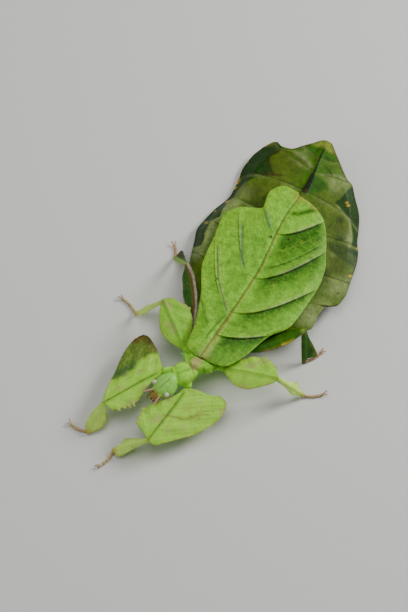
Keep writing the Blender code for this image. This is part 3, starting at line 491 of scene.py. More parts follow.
# Dots as (x, y, radius)
WING_DOTS = ((-1.3, 48.7, 0.6), (-8.8, 27.0, 0.5), (-9.1, 26.2, 0.35), (3.9, 50.7, 0.5), (6.7, 35.0, 0.5),
             (6.6, 33.7, 0.4), (7.6, 34.4, 0.35))


# %% The wing as a function of place and share
def wing_grid(side):
    """Middle surface over a place along the midrib and a share of the way from it to the margin."""
    margin = 2 if side == "l" else 4
    place = np.linspace(0, 1, WING_GRID[0])[:, None]
    share = np.linspace(0, 1, WING_GRID[1])[None, :] ** 1.1
    mid_y = curve([(row[0], row[1]) for row in WING_ROWS], place)
    margin_x, margin_y = curve([(row[0], row[margin], row[margin + 1]) for row in WING_ROWS], place)
    inner = curve(WING_MIDLINE, mid_y) - (RIB_LAP if side == "l" else WING_GAP)
    x = inner + (margin_x - inner) * share
    y = mid_y + (margin_y - mid_y) * share ** WING_SWEEP
    spacing = np.hypot(np.gradient(x, axis=0), np.gradient(y, axis=0)) * WING_GRID[0]
    return place, share, x, y, spacing


def wing_relief(side, place, spacing):
    """A saw tooth that steps up at each vein, the vein's ridge, and the light and shade beside it."""
    fold, ridge, edge, trough, bright = (np.zeros(np.shape(spacing)) for _ in range(5))
    for start, end, reach in zip(VEINS, (*VEINS[1:], 1.0), SHADE_REACH):
        ahead = (place - start - VEIN_STEP / 2) * spacing
        panel = (place - start) / (end - start)
        inside = (place > start) & (place <= end)
        step = ramp(place, start, start + VEIN_STEP)
        fold = np.where(inside, step * (1 - panel) * (1 + 0.5 * np.sin(np.pi * np.clip(panel, 0, 1))), fold)
        # Painted highlight along each step's edge, painted shadow line under it, painted shade ahead of the
        # vein and painted light behind it
        ridge += bell(ahead - 0.22, 0.2)
        edge = np.maximum(edge, bell(ahead + 0.25, 0.27))
        shade = np.minimum(1.3 * np.exp(np.minimum(ahead, 0) / reach), 1.0)
        trough = np.maximum(trough, np.where(ahead < 0, shade, 0))
        bright = np.maximum(bright, np.where(ahead > 0, np.exp(-ahead / BRIGHT_REACH), 0.0))
    if side == "l":
        for at, strength in SMALL_FOLDS:
            trough = np.maximum(trough, strength * bell((place - at) * spacing, 1.0))
    return fold, ridge, edge, trough, bright


print("left wing:", WING_GRID[0], "rows from the root to the tip, at most",
      round(float(wing_grid("l")[4].max() / WING_GRID[0]), 2), "mm apart")


# %% Both faces of a thin sheet as one row of rings
def plate_rings(top, bottom):
    """Each ring runs over the top from one margin to the other, and back underneath."""
    return np.concatenate([top, bottom[:, ::-1]], axis=1)


def both_faces(mark, below=1.0):
    """A mark on the top, repeated underneath at a share of its strength."""
    return np.concatenate([mark, mark[:, ::-1] * below], axis=1)


# %% Finish of the forewings
# Leathery forewing cuticle: the eye sees a leaf's matt green, tan on the midrib, with painted shade in the
# folds, a painted shadow line under each fold's edge and a painted highlight along it.
wing_cuticle = cuticle(
    "wing_cuticle", ("#94D83A", "#72B228"),
    (("outer", "#A8D636", 0.3), ("bright", "#A8E048", 0.75), ("trough", "#285C04", 0.95),
     ("side_vein", "#96CC3C", 0.3), ("edge", "#142E02", 0.95), ("ridge", "#C8CCA8", 0.7),
     ("crease", "#2F5E10", 0.75), ("crease_blue", "#8C9E92", 0.5), ("crease_pale", "#B0A67C", 0.35),
     ("tip", "#B49A40", 0.75), ("rim", "#93C848", 0.4), ("base", "#C8B474", 0.55),
     ("midrib", "#8A7E28", 0.8), ("dots", "#4A240C", 0.9)),
    cloud=6.0, cell=1.1, net=("#4E8A10", 0.35), mottle=0.34)


# %% Make the forewings
def right_creases(x, y):
    """Dark, bluish and pale marks of the folds in the right wing, which taper to nothing at their ends."""
    dark = np.maximum.reduce([
        0.7 * line_mark(x, y, LONG_CREASE, 0.85), line_mark(x, y, OUTER_CREASE, 0.28),
        line_mark(x + 0.3, y, TIP_CREASE, 0.35), 0.8 * line_mark(x, y, EDGE_CREASE, 0.4),
        0.8 * line_mark(x, y, BASE_CREASE, 0.35)])
    blue = np.maximum(line_mark(x, y, LONG_CREASE, 0.32), 0.7 * line_mark(x - 0.4, y + 0.1, TIP_CREASE, 0.5))
    return dark, blue, line_mark(x - 0.75, y + 0.2, OUTER_CREASE, 0.5)


def make_wing(side):
    """The middle surface, thickened to each side; the left wing's rib laps over the edge of the right one."""
    left = side == "l"
    place, share, x, y, spacing = wing_grid(side)
    fold, ridge, edge, trough, bright = wing_relief(side, place, spacing)
    lift = (1 - (1 - share) ** 3) * (1 - FOLD_FADE * share ** 2) * (1 - 0.7 * ramp(share, 0.84, 1.0))
    lift = lift * (1.0 if left else ramp(share, 0.15, 0.5))
    shaded = ramp(share, 0.04, 0.3) * (1 - 0.55 * ramp(share, 0.88, 1.0))
    fading = ramp(share, 0.0, 0.06) * (1 - 0.8 * ramp(share, 0.8, 1.0))
    side_vein = sum(bell((place - at) * spacing, 0.22) for at in SIDE_VEINS) * fading
    dark, blue, pale = (0 * x, 0 * x, 0 * x) if left else right_creases(x, y)
    from_edge = np.abs(x - x[:, :1])
    strength, rib_at = (1.0, RIB_LAP + 0.1) if left else (RIGHT_STRENGTH, 0.0)
    rib_half = curve(RIB_HALF, place)
    middle = (WING_HEIGHT - WING_SLOPE * y - WING_SIDE_DROOP * (x / WING_HALF) ** 2
              + FOLD_RISE[side] * fold * lift - CREASE_DEPTH * dark - BLUE_CREASE_DEPTH * blue
              - BASE_DROP * ramp(share, 0.1, 1.0) * ramp(-place, -0.16, -0.02))
    half = WING_THICK / 2 * (1 - 0.55 * ramp(share, 0.92, 1.0)) * (1 - 0.6 * ramp(share + place, 0.3, 0.0))
    rise = VEIN_RISE * strength * ridge * fading + SIDE_VEIN_RISE * side_vein
    under = half
    if left:
        rise = rise + MIDRIB_RISE * (1 - 0.6 * place) * bell(from_edge - rib_at, 1.3 * rib_half)
        under = np.maximum(half, RIB_DEPTH * ramp(0.9 - from_edge, 0.0, 0.5))
    else:
        middle = middle - RIB_SEAT * bell(from_edge, 0.7)
    along_rib = bell(x - curve(WING_MIDLINE, y), curve(BASE_HALF, y))
    marks = {
        "midrib": bell(from_edge - rib_at, rib_half, 4) * (1.0 if left else 0.6)
        * (0.3 + 0.7 * ramp(place, 0.04, 0.22)),
        # Painted highlight and shadow line at each fold's edge, painted shade ahead of each vein and painted
        # light behind it
        "side_vein": side_vein, "ridge": ridge * fading * ramp(share, 0.3, 0.6) * strength,
        "edge": edge * fading * ramp(share, 0.1, 0.4) * strength ** 2,
        "trough": trough * shaded * strength, "bright": bright * shaded * (0.4 + 0.6 * strength),
        "crease": dark, "crease_blue": blue, "crease_pale": pale,
        "rim": ramp((1 - share) * 18, 0.6, 0.0) + 0 * x,
        "outer": ramp(share + wander(x, y, 14.0, 0.15), 0.35, 1.0) * (0.0 if left else 1.0),
        "dots": spot_mark(x, y, WING_DOTS),
        "tip": np.maximum(bell(np.hypot(x + 0.3, y - 66.2), 2.0), line_mark(x, y, TIP_RIM, 0.8)),
        "base": along_rib * (1 - 0.7 * ramp(y, 4.0, 24.0)),
    }
    top = np.stack([x, y, middle + half + rise], axis=2)
    bottom = np.stack([x, y, middle - under], axis=2)
    marks = {mark: both_faces(np.broadcast_to(values, x.shape), 0.5) for mark, values in marks.items()}
    build("forewing_" + side, [(plate_rings(top, bottom), marks)], wing_cuticle,
          ["tegmen_" + side])


for side, _ in SIDES:
    make_wing(side)

# %% [markdown]
# ## Abdomen
# The abdomen is flat and wide, so that it passes for a leaf, with the gut as a soft keel under its
# middle. Its nine free segments, the second to the tenth, lap one over the next from the waist to the
# tail. Their margins make the leaf's ragged outline and fold down, and a dark band of painted shade
# lies on the folded part. It could be built of nine separate plates, but on the real insect they are
# one supple skin. So one grid runs along the body and across it, each row is curved as the real
# sutures are, and the laps are small steps between the rows.

# %% Sizes of the abdomen
ABDOMEN_EDGE = 0.8
SEGMENT_STEP = 0.3
BELLY_HALF = 9.5
BACK_DOME = 1.0
KEEL_RISE = 0.5
KEEL_HALF = 1.3
KEEL_START = 62.0
DOME_END = 90.5
WIDE_HALF = 20.0
ARC_RISE = 0.15
# Hind edges of the segments as (y in the middle, at the right margin, at the left one, bend)
SEGMENT_EDGES = (
    (9.3, 9.3, 9.3, 1.5),
    (18.0, 22.0, 22.0, 1.5),
    (30.0, 35.0, 38.0, 2.0),
    (43.5, 47.5, 48.3, 1.5),
    (57.0, 58.1, 61.7, 1.5),
    (69.8, 67.0, 68.0, 3.0),
    (77.3, 80.8, 79.5, 1.2),
    (82.1, 84.4, 84.3, 1.5),
    (85.4, 86.2, 86.2, 2.0),
    (88.3, 88.3, 88.3, 2.0),
)
# The middle line as (y, x, height, depth of the keel under it)
ABDOMEN_MIDLINE = (
    (9.3, 0.0, 8.3, 1.4),
    (20.0, 0.0, 8.2, 3.4),
    (30.0, 0.0, 7.6, 5.0),
    (42.0, 0.0, 6.6, 6.2),
    (52.0, 0.0, 5.9, 6.4),
    (62.0, 0.0, 5.5, 5.4),
    (71.0, 0.0, 5.9, 3.4),
    (77.0, -0.4, 6.6, 2.2),
    (85.0, -1.2, 7.8, 0.9),
    (88.3, -1.2, 8.4, 0.3),
)
# The margins as (y, distance from the middle line)
RIGHT_MARGIN = (
    (9.3, 5.6), (14.0, 7.4), (18.0, 10.3), (22.0, 14.6), (26.0, 18.6), (30.6, 20.8), (38.3, 23.3),
    (43.8, 24.9), (47.9, 24.4), (51.7, 23.7), (59.6, 21.5), (65.1, 22.0), (70.5, 22.7),
    (75.4, 21.8), (79.4, 19.6), (80.8, 17.4), (81.1, 15.0), (81.7, 10.2), (83.9, 7.2),
    (86.2, 4.5), (87.6, 2.9), (88.3, 1.5),
)
LEFT_MARGIN = (
    (9.3, 5.6), (14.0, 7.4), (18.0, 10.3), (22.0, 15.0), (25.5, 21.2), (28.4, 24.0), (33.0, 23.7),
    (37.6, 24.2), (38.6, 26.6), (40.5, 27.6), (43.8, 27.9), (49.2, 27.0), (55.9, 25.8), (60.2, 24.2),
    (63.5, 22.3), (67.2, 20.9), (72.4, 18.5), (76.5, 15.2), (79.2, 12.8), (79.9, 11.2), (81.6, 9.2),
    (84.5, 6.0), (86.6, 3.5), (87.6, 2.4), (88.3, 1.4),
)
DROOP = {"r": 1.3, "l": 1.6}
# The folded margins as (y, drop in mm, share of the way out at which the fold starts)
RIGHT_FOLD = ((9.3, 0.4, 0.8), (25.0, 2.4, 0.8), (45.0, 3.1, 0.83), (58.0, 2.9, 0.82), (68.0, 3.0, 0.75),
              (77.0, 3.0, 0.68), (83.0, 1.4, 0.66), (88.3, 0.1, 0.66))
LEFT_FOLD = ((9.3, 0.0, 0.8), (50.0, 0.0, 0.85), (60.0, 0.8, 0.85), (67.0, 2.2, 0.82), (77.0, 2.4, 0.72),
             (83.0, 1.2, 0.68), (88.3, 0.1, 0.66))
# Corners of the seventh segment as (distance from the middle line, push towards the tail)
CORNER = {"r": (16.2, 1.7), "l": (12.8, 0.8)}
CORNER_Y = 80.6
CORNER_HALF = 1.7
ROWS_PER_SEGMENT = 34
LONG_SEGMENTS = 6
LAST_ROW = 0.985
ACROSS = 61

# Marks of the abdomen as points in mm: pale arcs, outlines of the panels, spots and soft patches. A
# name with a number in it counts the segments as on the real insect, where the first one is hidden.
LEFT_ARC = ((10.2, 69.6), (14.1, 68.9), (18.2, 66.0), (20.8, 61.4), (21.2, 58.9))
LEFT_EIGHTH_ARC = ((0.1, 76.9), (4.9, 78.6), (8.1, 79.6), (12.0, 79.2))
RIGHT_ARC = ((-10.2, 80.9), (-6.6, 80.4), (-3.6, 78.9), (-1.2, 77.6))
RIGHT_OUTLINE = ((-1.6, 77.0), (-5.5, 79.2), (-10.7, 80.2), (-13.9, 79.5), (-15.3, 76.8), (-15.1, 74.2),
                 (-13.3, 72.0), (-11.1, 70.7))
TAIL_VEINS = (((-1.0, 83.0), (1.6, 83.5), (4.6, 82.9)), ((-3.8, 82.6), (-2.6, 84.4), (-1.6, 85.2)),
              ((0.9, 80.3), (3.2, 79.6), (5.7, 78.4)))
RIM_STRIP = ((-15.1, 68.5), (-13.1, 70.0), (-10.8, 70.7), (-8.6, 70.9))
# Outlines of the painted shade on the folded margins, right then left
RIGHT_BAND = ((-19.6, 37.3), (-20.8, 40.5), (-22.1, 47.1), (-19.8, 48.8), (-20.5, 52.7), (-20.5, 56.9),
              (-19.9, 62.6), (-18.8, 65.0), (-16.3, 67.2), (-11.1, 70.5), (-13.3, 72.0), (-15.1, 74.2),
              (-15.3, 76.8), (-13.9, 79.8), (-15.5, 86.0), (-30.0, 86.0), (-30.0, 34.0))
LEFT_BAND = ((10.6, 70.6), (13.8, 69.8), (17.0, 67.9), (19.6, 65.1), (21.8, 60.6), (21.6, 58.3),
             (32.0, 58.3), (32.0, 82.0), (12.6, 82.0), (12.1, 78.4), (11.5, 74.3))
RIGHT_PANEL = ((-13.9, 79.8), (-15.3, 76.8), (-15.1, 74.2), (-13.3, 72.0), (-11.1, 70.5), (-8.2, 71.2),
               (-4.8, 70.9), (0.5, 69.6), (-0.5, 76.8), (-5.5, 79.4), (-10.7, 80.3))
KEEL_PANEL = ((-0.5, 76.2), (4.9, 75.5), (6.2, 73.6), (4.0, 71.3), (0.7, 69.8))
FIFTH_SHADE = ((14.5, 58.2), (19.0, 59.0), (29.0, 59.5), (29.0, 54.6), (21.8, 54.0), (15.8, 55.4))
ORANGE_SPOTS = ((-22.9, 45.6, 0.55), (-22.9, 51.2, 0.4), (-20.8, 56.2, 0.6), (-22.0, 56.9, 0.4),
                (-21.5, 62.8, 0.5), (-21.9, 64.2, 0.55), (-21.6, 65.1, 0.4), (-22.3, 65.9, 0.5),
                (-22.5, 67.2, 0.4), (-22.6, 72.6, 0.45), (-18.0, 81.2, 0.5), (-19.3, 79.8, 0.35),
                (14.1, 72.2, 0.6), (13.2, 72.9, 0.45), (23.8, 61.2, 0.7), (26.2, 50.4, 0.5))
FLANK_STRIP = ((-15.8, 59.0), (-17.8, 55.5), (-20.0, 51.8), (-20.4, 46.5), (-20.2, 41.3), (-19.5, 34.5),
               (-18.4, 29.6))
BROWN_SPOTS = ((25.6, 42.8, 0.6), (21.3, 49.2, 0.3), (21.9, 48.2, 0.3), (0.5, 69.6, 0.8),
               (-0.8, 70.4, 0.5), (12.6, 78.9, 0.9), (26.0, 51.2, 0.6), (-22.3, 50.4, 0.5),
               (26.8, 39.2, 0.5), (27.6, 39.6, 0.4))
OLIVE_PATCHES = ((21.0, 51.5, 4.0), (-14.0, 62.5, 4.0), (18.5, 56.4, 3.0), (16.0, 63.5, 2.6),
                 (20.0, 45.5, 2.6))
# Patches of painted shadow beside the wings' margins, as (x, y, size)
WING_SHADOW_PATCHES = ((-12.0, 58.4, 2.4), (-14.5, 57.0, 1.6), (17.6, 60.4, 1.8), (14.4, 66.2, 1.6),
                (18.0, 47.0, 1.8))
CREAM_PATCHES = ((18.0, 54.0, 0.8), (24.0, 44.4, 3.0), (24.5, 48.3, 1.6), (-19.0, 54.4, 2.3),
                 (-19.6, 44.0, 2.2), (-19.6, 36.6, 2.4), (24.5, 36.2, 2.6), (22.0, 31.5, 3.4),
                 (-8.6, 72.2, 0.6), (-16.6, 61.0, 2.4), (7.6, 76.6, 2.8), (20.0, 62.4, 2.4),
                 (-7.0, 81.0, 2.0))


# %% The abdomen's rows, and its surface
def rows_of(number):
    """The long segments have all rows, and the short ones of the tail have half as many."""
    return np.where(np.asarray(number) < LONG_SEGMENTS, ROWS_PER_SEGMENT, ROWS_PER_SEGMENT // 2)


def segment_rows():
    """Rows from one hind edge to the next: y in the middle and at both margins, bend, lap, share, segment."""
    edges, rows = np.array(SEGMENT_EDGES), []
    for number, (front, hind) in enumerate(zip(edges[:-1], edges[1:])):
        for share in np.linspace(0, LAST_ROW, int(rows_of(number))):
            rows.append((*(front + (hind - front) * share), share * SEGMENT_STEP, share, number))
    rows.append((*edges[-1], 0.0, 1.0, len(edges) - 2))
    return np.array(rows).T[:, :, None]


def abdomen_surface():
    """Height of the plate less the droop and the folded margins, plus dome, keel and laps; belly below."""
    mid_y, right_y, left_y, bend_power, lap, within, number = segment_rows()
    share = np.linspace(-1, 1, 2 * ACROSS + 1)[None, :]
    share = np.sign(share) * np.abs(share) ** 0.9
    reach, on_right = np.abs(share), share < 0

    def of_side(right, left):
        """The right side's values on the right, and the left side's on the left."""
        return np.where(on_right, right, left)

    margin_y = of_side(right_y, left_y)
    y = mid_y + (margin_y - mid_y) * reach ** bend_power
    half = of_side(curve(RIGHT_MARGIN, right_y), curve(LEFT_MARGIN, left_y))
    x_mid, height, depth = curve(ABDOMEN_MIDLINE, y)
    x = x_mid + half * share
    off = np.abs(x - x_mid)
    fold, fold_start = (of_side(a, b) for a, b in zip(curve(RIGHT_FOLD, right_y), curve(LEFT_FOLD, left_y)))
    hang = np.clip((reach - fold_start) / (1 - fold_start), 0, 1)
    droop = of_side(DROOP["r"], DROOP["l"]) * reach ** 2 + fold * hang ** 2 * (3 - 2 * hang)
    middle = height - droop * np.clip(half / WIDE_HALF, 0, 1) ** 2
    corner_at, corner_reach = (of_side(a, b) for a, b in zip(CORNER["r"], CORNER["l"]))
    corner = corner_reach * np.exp(-((off - corner_at) / CORNER_HALF) ** 2 - ((margin_y - CORNER_Y) / 2) ** 2)
    keel = KEEL_RISE * bell(off, KEEL_HALF) * np.clip((y - KEEL_START) / 8, 0, 1)
    dome = BACK_DOME * (1 - reach ** 2) * np.clip((DOME_END - y) / 20, 0.15, 1)
    belly = depth * np.cos(np.pi / 2 * np.clip(off / BELLY_HALF, 0, 1)) ** 2
    thick = ABDOMEN_EDGE / 2 * (1 - 0.6 * ramp(reach, 0.93, 1.0))
    above = middle + thick + dome + keel + lap * (1 - ramp(reach, 0.93, 1.0))
    below = np.maximum(middle - thick - belly, 0.0)
    return {"x": x, "y": y, "corner": corner, "above": above, "below": below, "off": off, "half": half,
            "reach": reach, "within": within, "number": number}


print("the abdomen has", segment_rows().shape[1], "rows of", 2 * ACROSS + 1, "points")

# %% Finish of the abdomen
# Supple cuticle over the gut: the eye sees an old leaf, olive with cream flanks, with painted shade as an
# almost black band on the folded margins and as dark patches beside the wings' margins.
belly_cuticle = cuticle(
    "belly_cuticle", ("#667E20", "#4A660A"),
    (("cream", "#8C9E5A", 0.9), ("olive", "#46520E", 0.7), ("panel", "#50640A", 0.75),
     ("dark", "#2A4406", 0.8), ("tail", "#387202", 0.92), ("beside_keel", "#427804", 0.75),
     ("pure", "#2A6000", 0.85),
     ("band", "#123C00", 0.96), ("hind_rim", "#96A65C", 0.4), ("arc", "#96A264", 0.65),
     ("suture", "#22220A", 0.8), ("outline", "#4E3608", 0.75), ("margin", "#2A2408", 0.8),
     ("tail_tip", "#A8B444", 0.7), ("tail_margin", "#5A3610", 0.85), ("keel", "#0A1400", 0.98),
     ("orange", "#DCB810", 0.95), ("brown", "#4E3014", 0.85)),
    cloud=4.0, cell=1.3, net=("#3E5A10", 0.22), fleck=("#2E2E0C", 0.25), mottle=0.3)


# %% Marks of the abdomen
def abdomen_marks(at):
    """Marks by place in mm, on coordinates that wander a little so that no edge is ruled."""
    x = at["x"] + wander(at["x"], at["y"], 5.0, 0.3)
    y = at["y"] + at["corner"] + wander(at["x"], at["y"], 5.0, 0.3)
    spacing = np.hypot(np.gradient(at["x"], axis=0), np.gradient(at["y"], axis=0))
    rows_in = rows_of(at["number"])
    to_hind, to_front = (1 - at["within"]) * rows_in * spacing, at["within"] * rows_in * spacing
    tail, fading = ramp(at["number"], 5.5, 6.5) + 0 * x, 0.55 + 0.45 * np.sin(0.5 * x + 0.9 * at["number"])
    arcs = np.maximum(line_mark(x, y, LEFT_ARC, 0.5), 0.8 * line_mark(x, y, LEFT_EIGHTH_ARC, 0.5))
    outline = np.maximum(line_mark(x, y, RIGHT_OUTLINE, 0.35), 1.2 * line_mark(x, y, RIM_STRIP, 0.5))
    from_margin = (1 - at["reach"]) * at["half"]
    keel_half = 0.4 + 0.6 * ramp(-y, -78.5, -70.5)
    marks = {
        # Painted shade on the folded margins
        "band": 1.4 * np.maximum(patch_mark(x, y, RIGHT_BAND, 0.8), patch_mark(x, y, LEFT_BAND, 0.8)),
        "suture": np.maximum(bell(to_hind, 0.2), bell(to_front, 0.2)) * (1 - 0.6 * tail),
        "hind_rim": bell(to_hind - 0.9, 0.6) * (1 - tail) * fading,
        "margin": bell(from_margin, 0.3) * ramp(y, 44.0, 60.0),
        "tail_margin": bell(from_margin, 0.6) * ramp(y, 79.0, 81.5),
        "keel": 1.5 * bell(at["off"], keel_half, 4) * ramp(y, 67.5, 69.5)
        * (1 - 0.4 * ramp(y, 74.0, 81.0)) * (1 - ramp(y, 84.0, 86.5)),
        "beside_keel": bell(at["off"], 4.2) * ramp(y, 66.5, 70.5) * (1 - ramp(y, 78.5, 81.5)),
        "tail": tail, "tail_tip": ramp(y, 84.6, 86.4) + 0 * x,
        "panel": patch_mark(x, y, RIGHT_PANEL, 0.8), "pure": patch_mark(x, y, KEEL_PANEL, 2.0),
        "arc": np.maximum(arcs, line_mark(x, y, RIGHT_ARC, 0.8)), "outline": np.clip(outline, 0, 1),
        "orange": spot_mark(x, y, ORANGE_SPOTS), "brown": 0.75 * spot_mark(x, y, BROWN_SPOTS),
    }
    for mark, patches in (("olive", OLIVE_PATCHES), ("dark", WING_SHADOW_PATCHES), ("cream", CREAM_PATCHES)):
        marks[mark] = np.maximum.reduce([bell(np.hypot(x - a, y - b), size) for a, b, size in patches])
    # The dark mark is painted shadow beside the wings' margins
    marks["dark"] = np.maximum(marks["dark"], patch_mark(x, y, FIFTH_SHADE, 1.6))
    marks["cream"] = np.maximum(marks["cream"], line_mark(x, y, FLANK_STRIP, 2.4))
    veins = np.maximum.reduce([line_mark(x, y, vein, 0.3) for vein in TAIL_VEINS])
    marks["suture"] = np.maximum(marks["suture"], 0.6 * veins)
    return marks, ARC_RISE * arcs


# %% Make the abdomen
# How strongly the marks that go round the margin show underneath; the others are on the back only
BELOW = {"band": 0.7, "suture": 0.6, "margin": 1.0, "tail": 1.0}


def make_abdomen():
    """One sheet from waist to tail with every mark by its place in mm."""
    at = abdomen_surface()
    top_y = at["y"] + at["corner"]
    marks, lift = abdomen_marks(at)
    top = np.stack([at["x"], top_y, at["above"] + lift], axis=2)
    bottom = np.stack([at["x"], top_y, at["below"]], axis=2)
    marks = {mark: both_faces(values + 0 * at["x"], BELOW.get(mark, 0.0)) for mark, values in marks.items()}
    build("abdomen_skin", [(plate_rings(top, bottom), marks)], belly_cuticle, ["abdomen"])


make_abdomen()

# %% [markdown]
# ## Chest
# The three rings of the chest and the roots of the legs are one hard skin on the real insect. They
# could be joined with boolean modifiers, which leave hard seams, so here they are plain closed tubes
# that sink into one another, wrapped in a single skin by a voxel remesh and then softened. Grooves,
# rims and small grains are pushed out of that skin along its normals, which keeps the joins smooth.

# %% Sizes of the chest
NECK = (-4.2, -7.3, 9.8)
WAIST = (-0.6, -3.5, 10.2)
CHEST_END = 4.5
HIP_END = 9.0
HEAD_YAW = 20.0
HEAD_PITCH = 12.0
# The collar as (share of the way from waist to neck, half width, half height)
COLLAR_PROFILE = ((0.0, 2.2, 1.8), (0.32, 2.9, 2.1), (0.55, 3.25, 2.2), (0.8, 3.2, 2.0), (1.0, 2.6, 1.5))
# The chest as (distance behind the waist, or y from CHEST_END on, half width, top, underside)
CHEST_PROFILE = ((0.0, 2.1, 12.0, 8.2), (1.2, 3.2, 12.7, 7.4), (2.4, 4.5, 12.6, 6.8), (3.8, 5.4, 12.65, 6.2),
                 (3.95, 5.45, 11.3, 6.1), (5.5, 5.9, 11.2, 5.7), (7.3, 6.0, 11.0, 5.6), (8.0, 5.7, 10.8, 5.8))
HIND_CHEST_PROFILE = ((CHEST_END, 5.4, 10.8, 5.8), (6.6, 5.7, 10.8, 5.6), (HIP_END, 5.5, 10.3, 6.1))
CHEST_SPINES = 3
SPINE_START = 1.43
SPINE_PITCH = 1.13
SPINE_HEIGHT = 9.9
SPINE_ROOT = 3.3
SPINE_WIDENING = 0.95
SPINE_RADII = (0.42, 0.16)
# Roots of the legs as (share of the way to the hip, radius)
COXA_SIZES = ((0.0, 1.4), (0.5, 1.35), (0.85, 1.2), (1.0, 1.1))
# The tan band over the middle chest: half width by y, its slant, and the y where it crosses the middle
TAN_HALF = ((-3.5, 1.7), (-1.8, 1.1), (0.5, 0.8), (4.0, 0.8))
TAN_SLANT = 0.12
TAN_FROM = 3.0
SKIN_VOXEL = 0.17
SKIN_ROUNDS = 5
# Number of grains and their mean radius, then what each mark lifts or sinks
CHEST_GRAINS = (260, 0.24)
CHEST_GRAIN_RISE = 0.08
COLLAR_RIM_RISE = 0.08
GROOVE_DEPTH = 0.12
SEAM_DEPTH = 0.2
CHEST_RIDGE_RISE = 0.15


# %% One skin over several shapes
def fuse(name, parts, voxel, rounds):
    """The outside of the parts together, remeshed in voxels and smoothed; gives mesh, points and normals."""
    rough = bpy.data.objects.new(name + "_rough", mesh_of(name, [(rings, {}) for rings in parts]))
    bpy.context.scene.collection.objects.link(rough)
    skin = rough.modifiers.new("skin", "REMESH")
    skin.mode = "VOXEL"
    skin.voxel_size = voxel * MM
    soften = rough.modifiers.new("soften", "SMOOTH")
    soften.factor = 0.5
    soften.iterations = rounds
    seen = rough.evaluated_get(bpy.context.evaluated_depsgraph_get())
    mesh = bpy.data.meshes.new_from_object(seen)
    bpy.data.objects.remove(rough)
    mesh.name = name
    mesh.shade_smooth()
    points, normals = np.empty(len(mesh.vertices) * 3), np.empty(len(mesh.vertices) * 3)
    mesh.vertices.foreach_get("co", points)
    mesh.vertex_normals.foreach_get("vector", normals)
    return mesh, points.reshape(-1, 3) / MM - BODY_AT, normals.reshape(-1, 3)


def push_out(mesh, points, normals, height):
    """Move each point along its normal by a height in mm."""
    moved = (points + normals * height[:, None] + BODY_AT) * MM
    mesh.vertices.foreach_set("co", moved.astype(np.float32).ravel())
    mesh.update()


def grains(points, count, radius, allowed):
    """The highest of many bell curves around points drawn from the allowed ones, each of its own size."""
    found = np.zeros(len(points))
    for centre in RANDOM.choice(np.flatnonzero(allowed), count):
        size = radius * RANDOM.uniform(0.7, 1.3)
        found = np.maximum(found, np.exp(-np.sum((points - points[centre]) ** 2, axis=1) / size ** 2))
    return found


def wear(name, mesh, marks, finish, nodes):
    """Paint the marks on a fused skin and make it a piece of the model."""
    for mark, values in marks.items():
        paint(mesh, mark, values)
    settle(bpy.data.objects.new(name, mesh), finish, nodes)


# %% The head's axes
def head_axes():
    """Forward, left and up of the head, from its turn and its nod."""
    yaw, pitch = math.radians(HEAD_YAW), math.radians(HEAD_PITCH)
    forward = vec(-math.sin(yaw) * math.cos(pitch), -math.cos(yaw) * math.cos(pitch), -math.sin(pitch))
    left = vec(math.cos(yaw), -math.sin(yaw), 0)
    return forward, left, np.cross(forward, left)


FORWARD, LEFT, UP = head_axes()
print("the head looks along", FORWARD.round(2))

# %% The leg joints that the chest reaches out to
ANKLE_HEIGHT = 1.2
TOE_HEIGHT = 0.45
# Each leg: hip, knee, ankle, toe, then where the rear lobe of the thigh and of the shin points
LEGS = {
    "fore_r": ((-8.9, -7.0, 8.0), (-19.7, -24.6, 7.0), (-21.1, -33.1, ANKLE_HEIGHT),
               (-26.9, -33.3, TOE_HEIGHT), (-1, 0.6, -0.1), (-1, 0, 0)),
    "fore_l": ((0.3, -8.3, 8.0), (-2.0, -28.5, 7.0), (-11.0, -34.8, ANKLE_HEIGHT),
               (-12.3, -40.9, TOE_HEIGHT), (1, 0, -0.1), (0.5, -0.8, 0)),
    "mid_r": ((-7.1, 2.7, 8.0), (-19.4, 11.9, 12.0), (-27.5, 8.2, ANKLE_HEIGHT),
              (-34.3, 11.1, TOE_HEIGHT), (0.6, 0.8, 0), (0, 1, 0)),
    "mid_l": ((7.1, 2.7, 8.0), (23.4, 5.9, 12.0), (31.1, 9.1, ANKLE_HEIGHT),
              (36.6, 12.7, TOE_HEIGHT), (-0.2, 1, 0), (0, 1, 0)),
    "hind_r": ((-7.2, 8.6, 7.8), (-19.1, 26.2, 12.0), (-26.3, 31.2, ANKLE_HEIGHT),
               (-29.0, 35.6, TOE_HEIGHT), (0.8, 0.5, 0.8), (0.05, 0.9, 0.4)),
    "hind_l": ((7.2, 8.6, 7.8), (23.3, 23.7, 12.5), (26.2, 19.4, ANKLE_HEIGHT),
               (29.6, 25.0, TOE_HEIGHT), (-0.65, 0.76, -0.45), (1, 1, 0.2)),
}
# Where the root of each leg starts inside the chest
COXA_ROOTS = {
    "fore_r": (-3.4, -4.5, 8.8), "fore_l": (-1.0, -6.0, 8.8), "mid_r": (-3.4, 2.5, 7.8),
    "mid_l": (3.4, 2.5, 7.8), "hind_r": (-3.6, 6.6, 7.6), "hind_l": (3.6, 6.6, 7.6),
}

print(len(LEGS), "legs; the widest stand", max(abs(a[3][0]) for a in LEGS.values()), "mm from the middle")

# %% Finish of the chest
# Thick, domed cuticle: the eye sees the freshest green of the animal, with a worn tan band in its middle.
chest_cuticle = cuticle(
    "chest_cuticle", ("#AEFA3E", "#9CEC38"),
    (("flank", "#80C824", 0.7), ("blotch", "#3E7A08", 0.5), ("tan", "#CCB078", 0.72),
     ("groove", "#6F9A2C", 0.6), ("rim", "#A08650", 0.6), ("grain", "#B6D878", 0.25),
     ("spine", "#B49A4A", 0.7)),
    cloud=3.0, cell=0.9, net=("#7DB040", 0.12), grain=0.35, relief=0.06)


# %% The shapes under the chest's skin
def chest_middle(far):
    """The x and y of the chest's middle line at a distance behind the waist."""
    return WAIST[0] * (1 - far / (CHEST_END - WAIST[1])), WAIST[1] + far


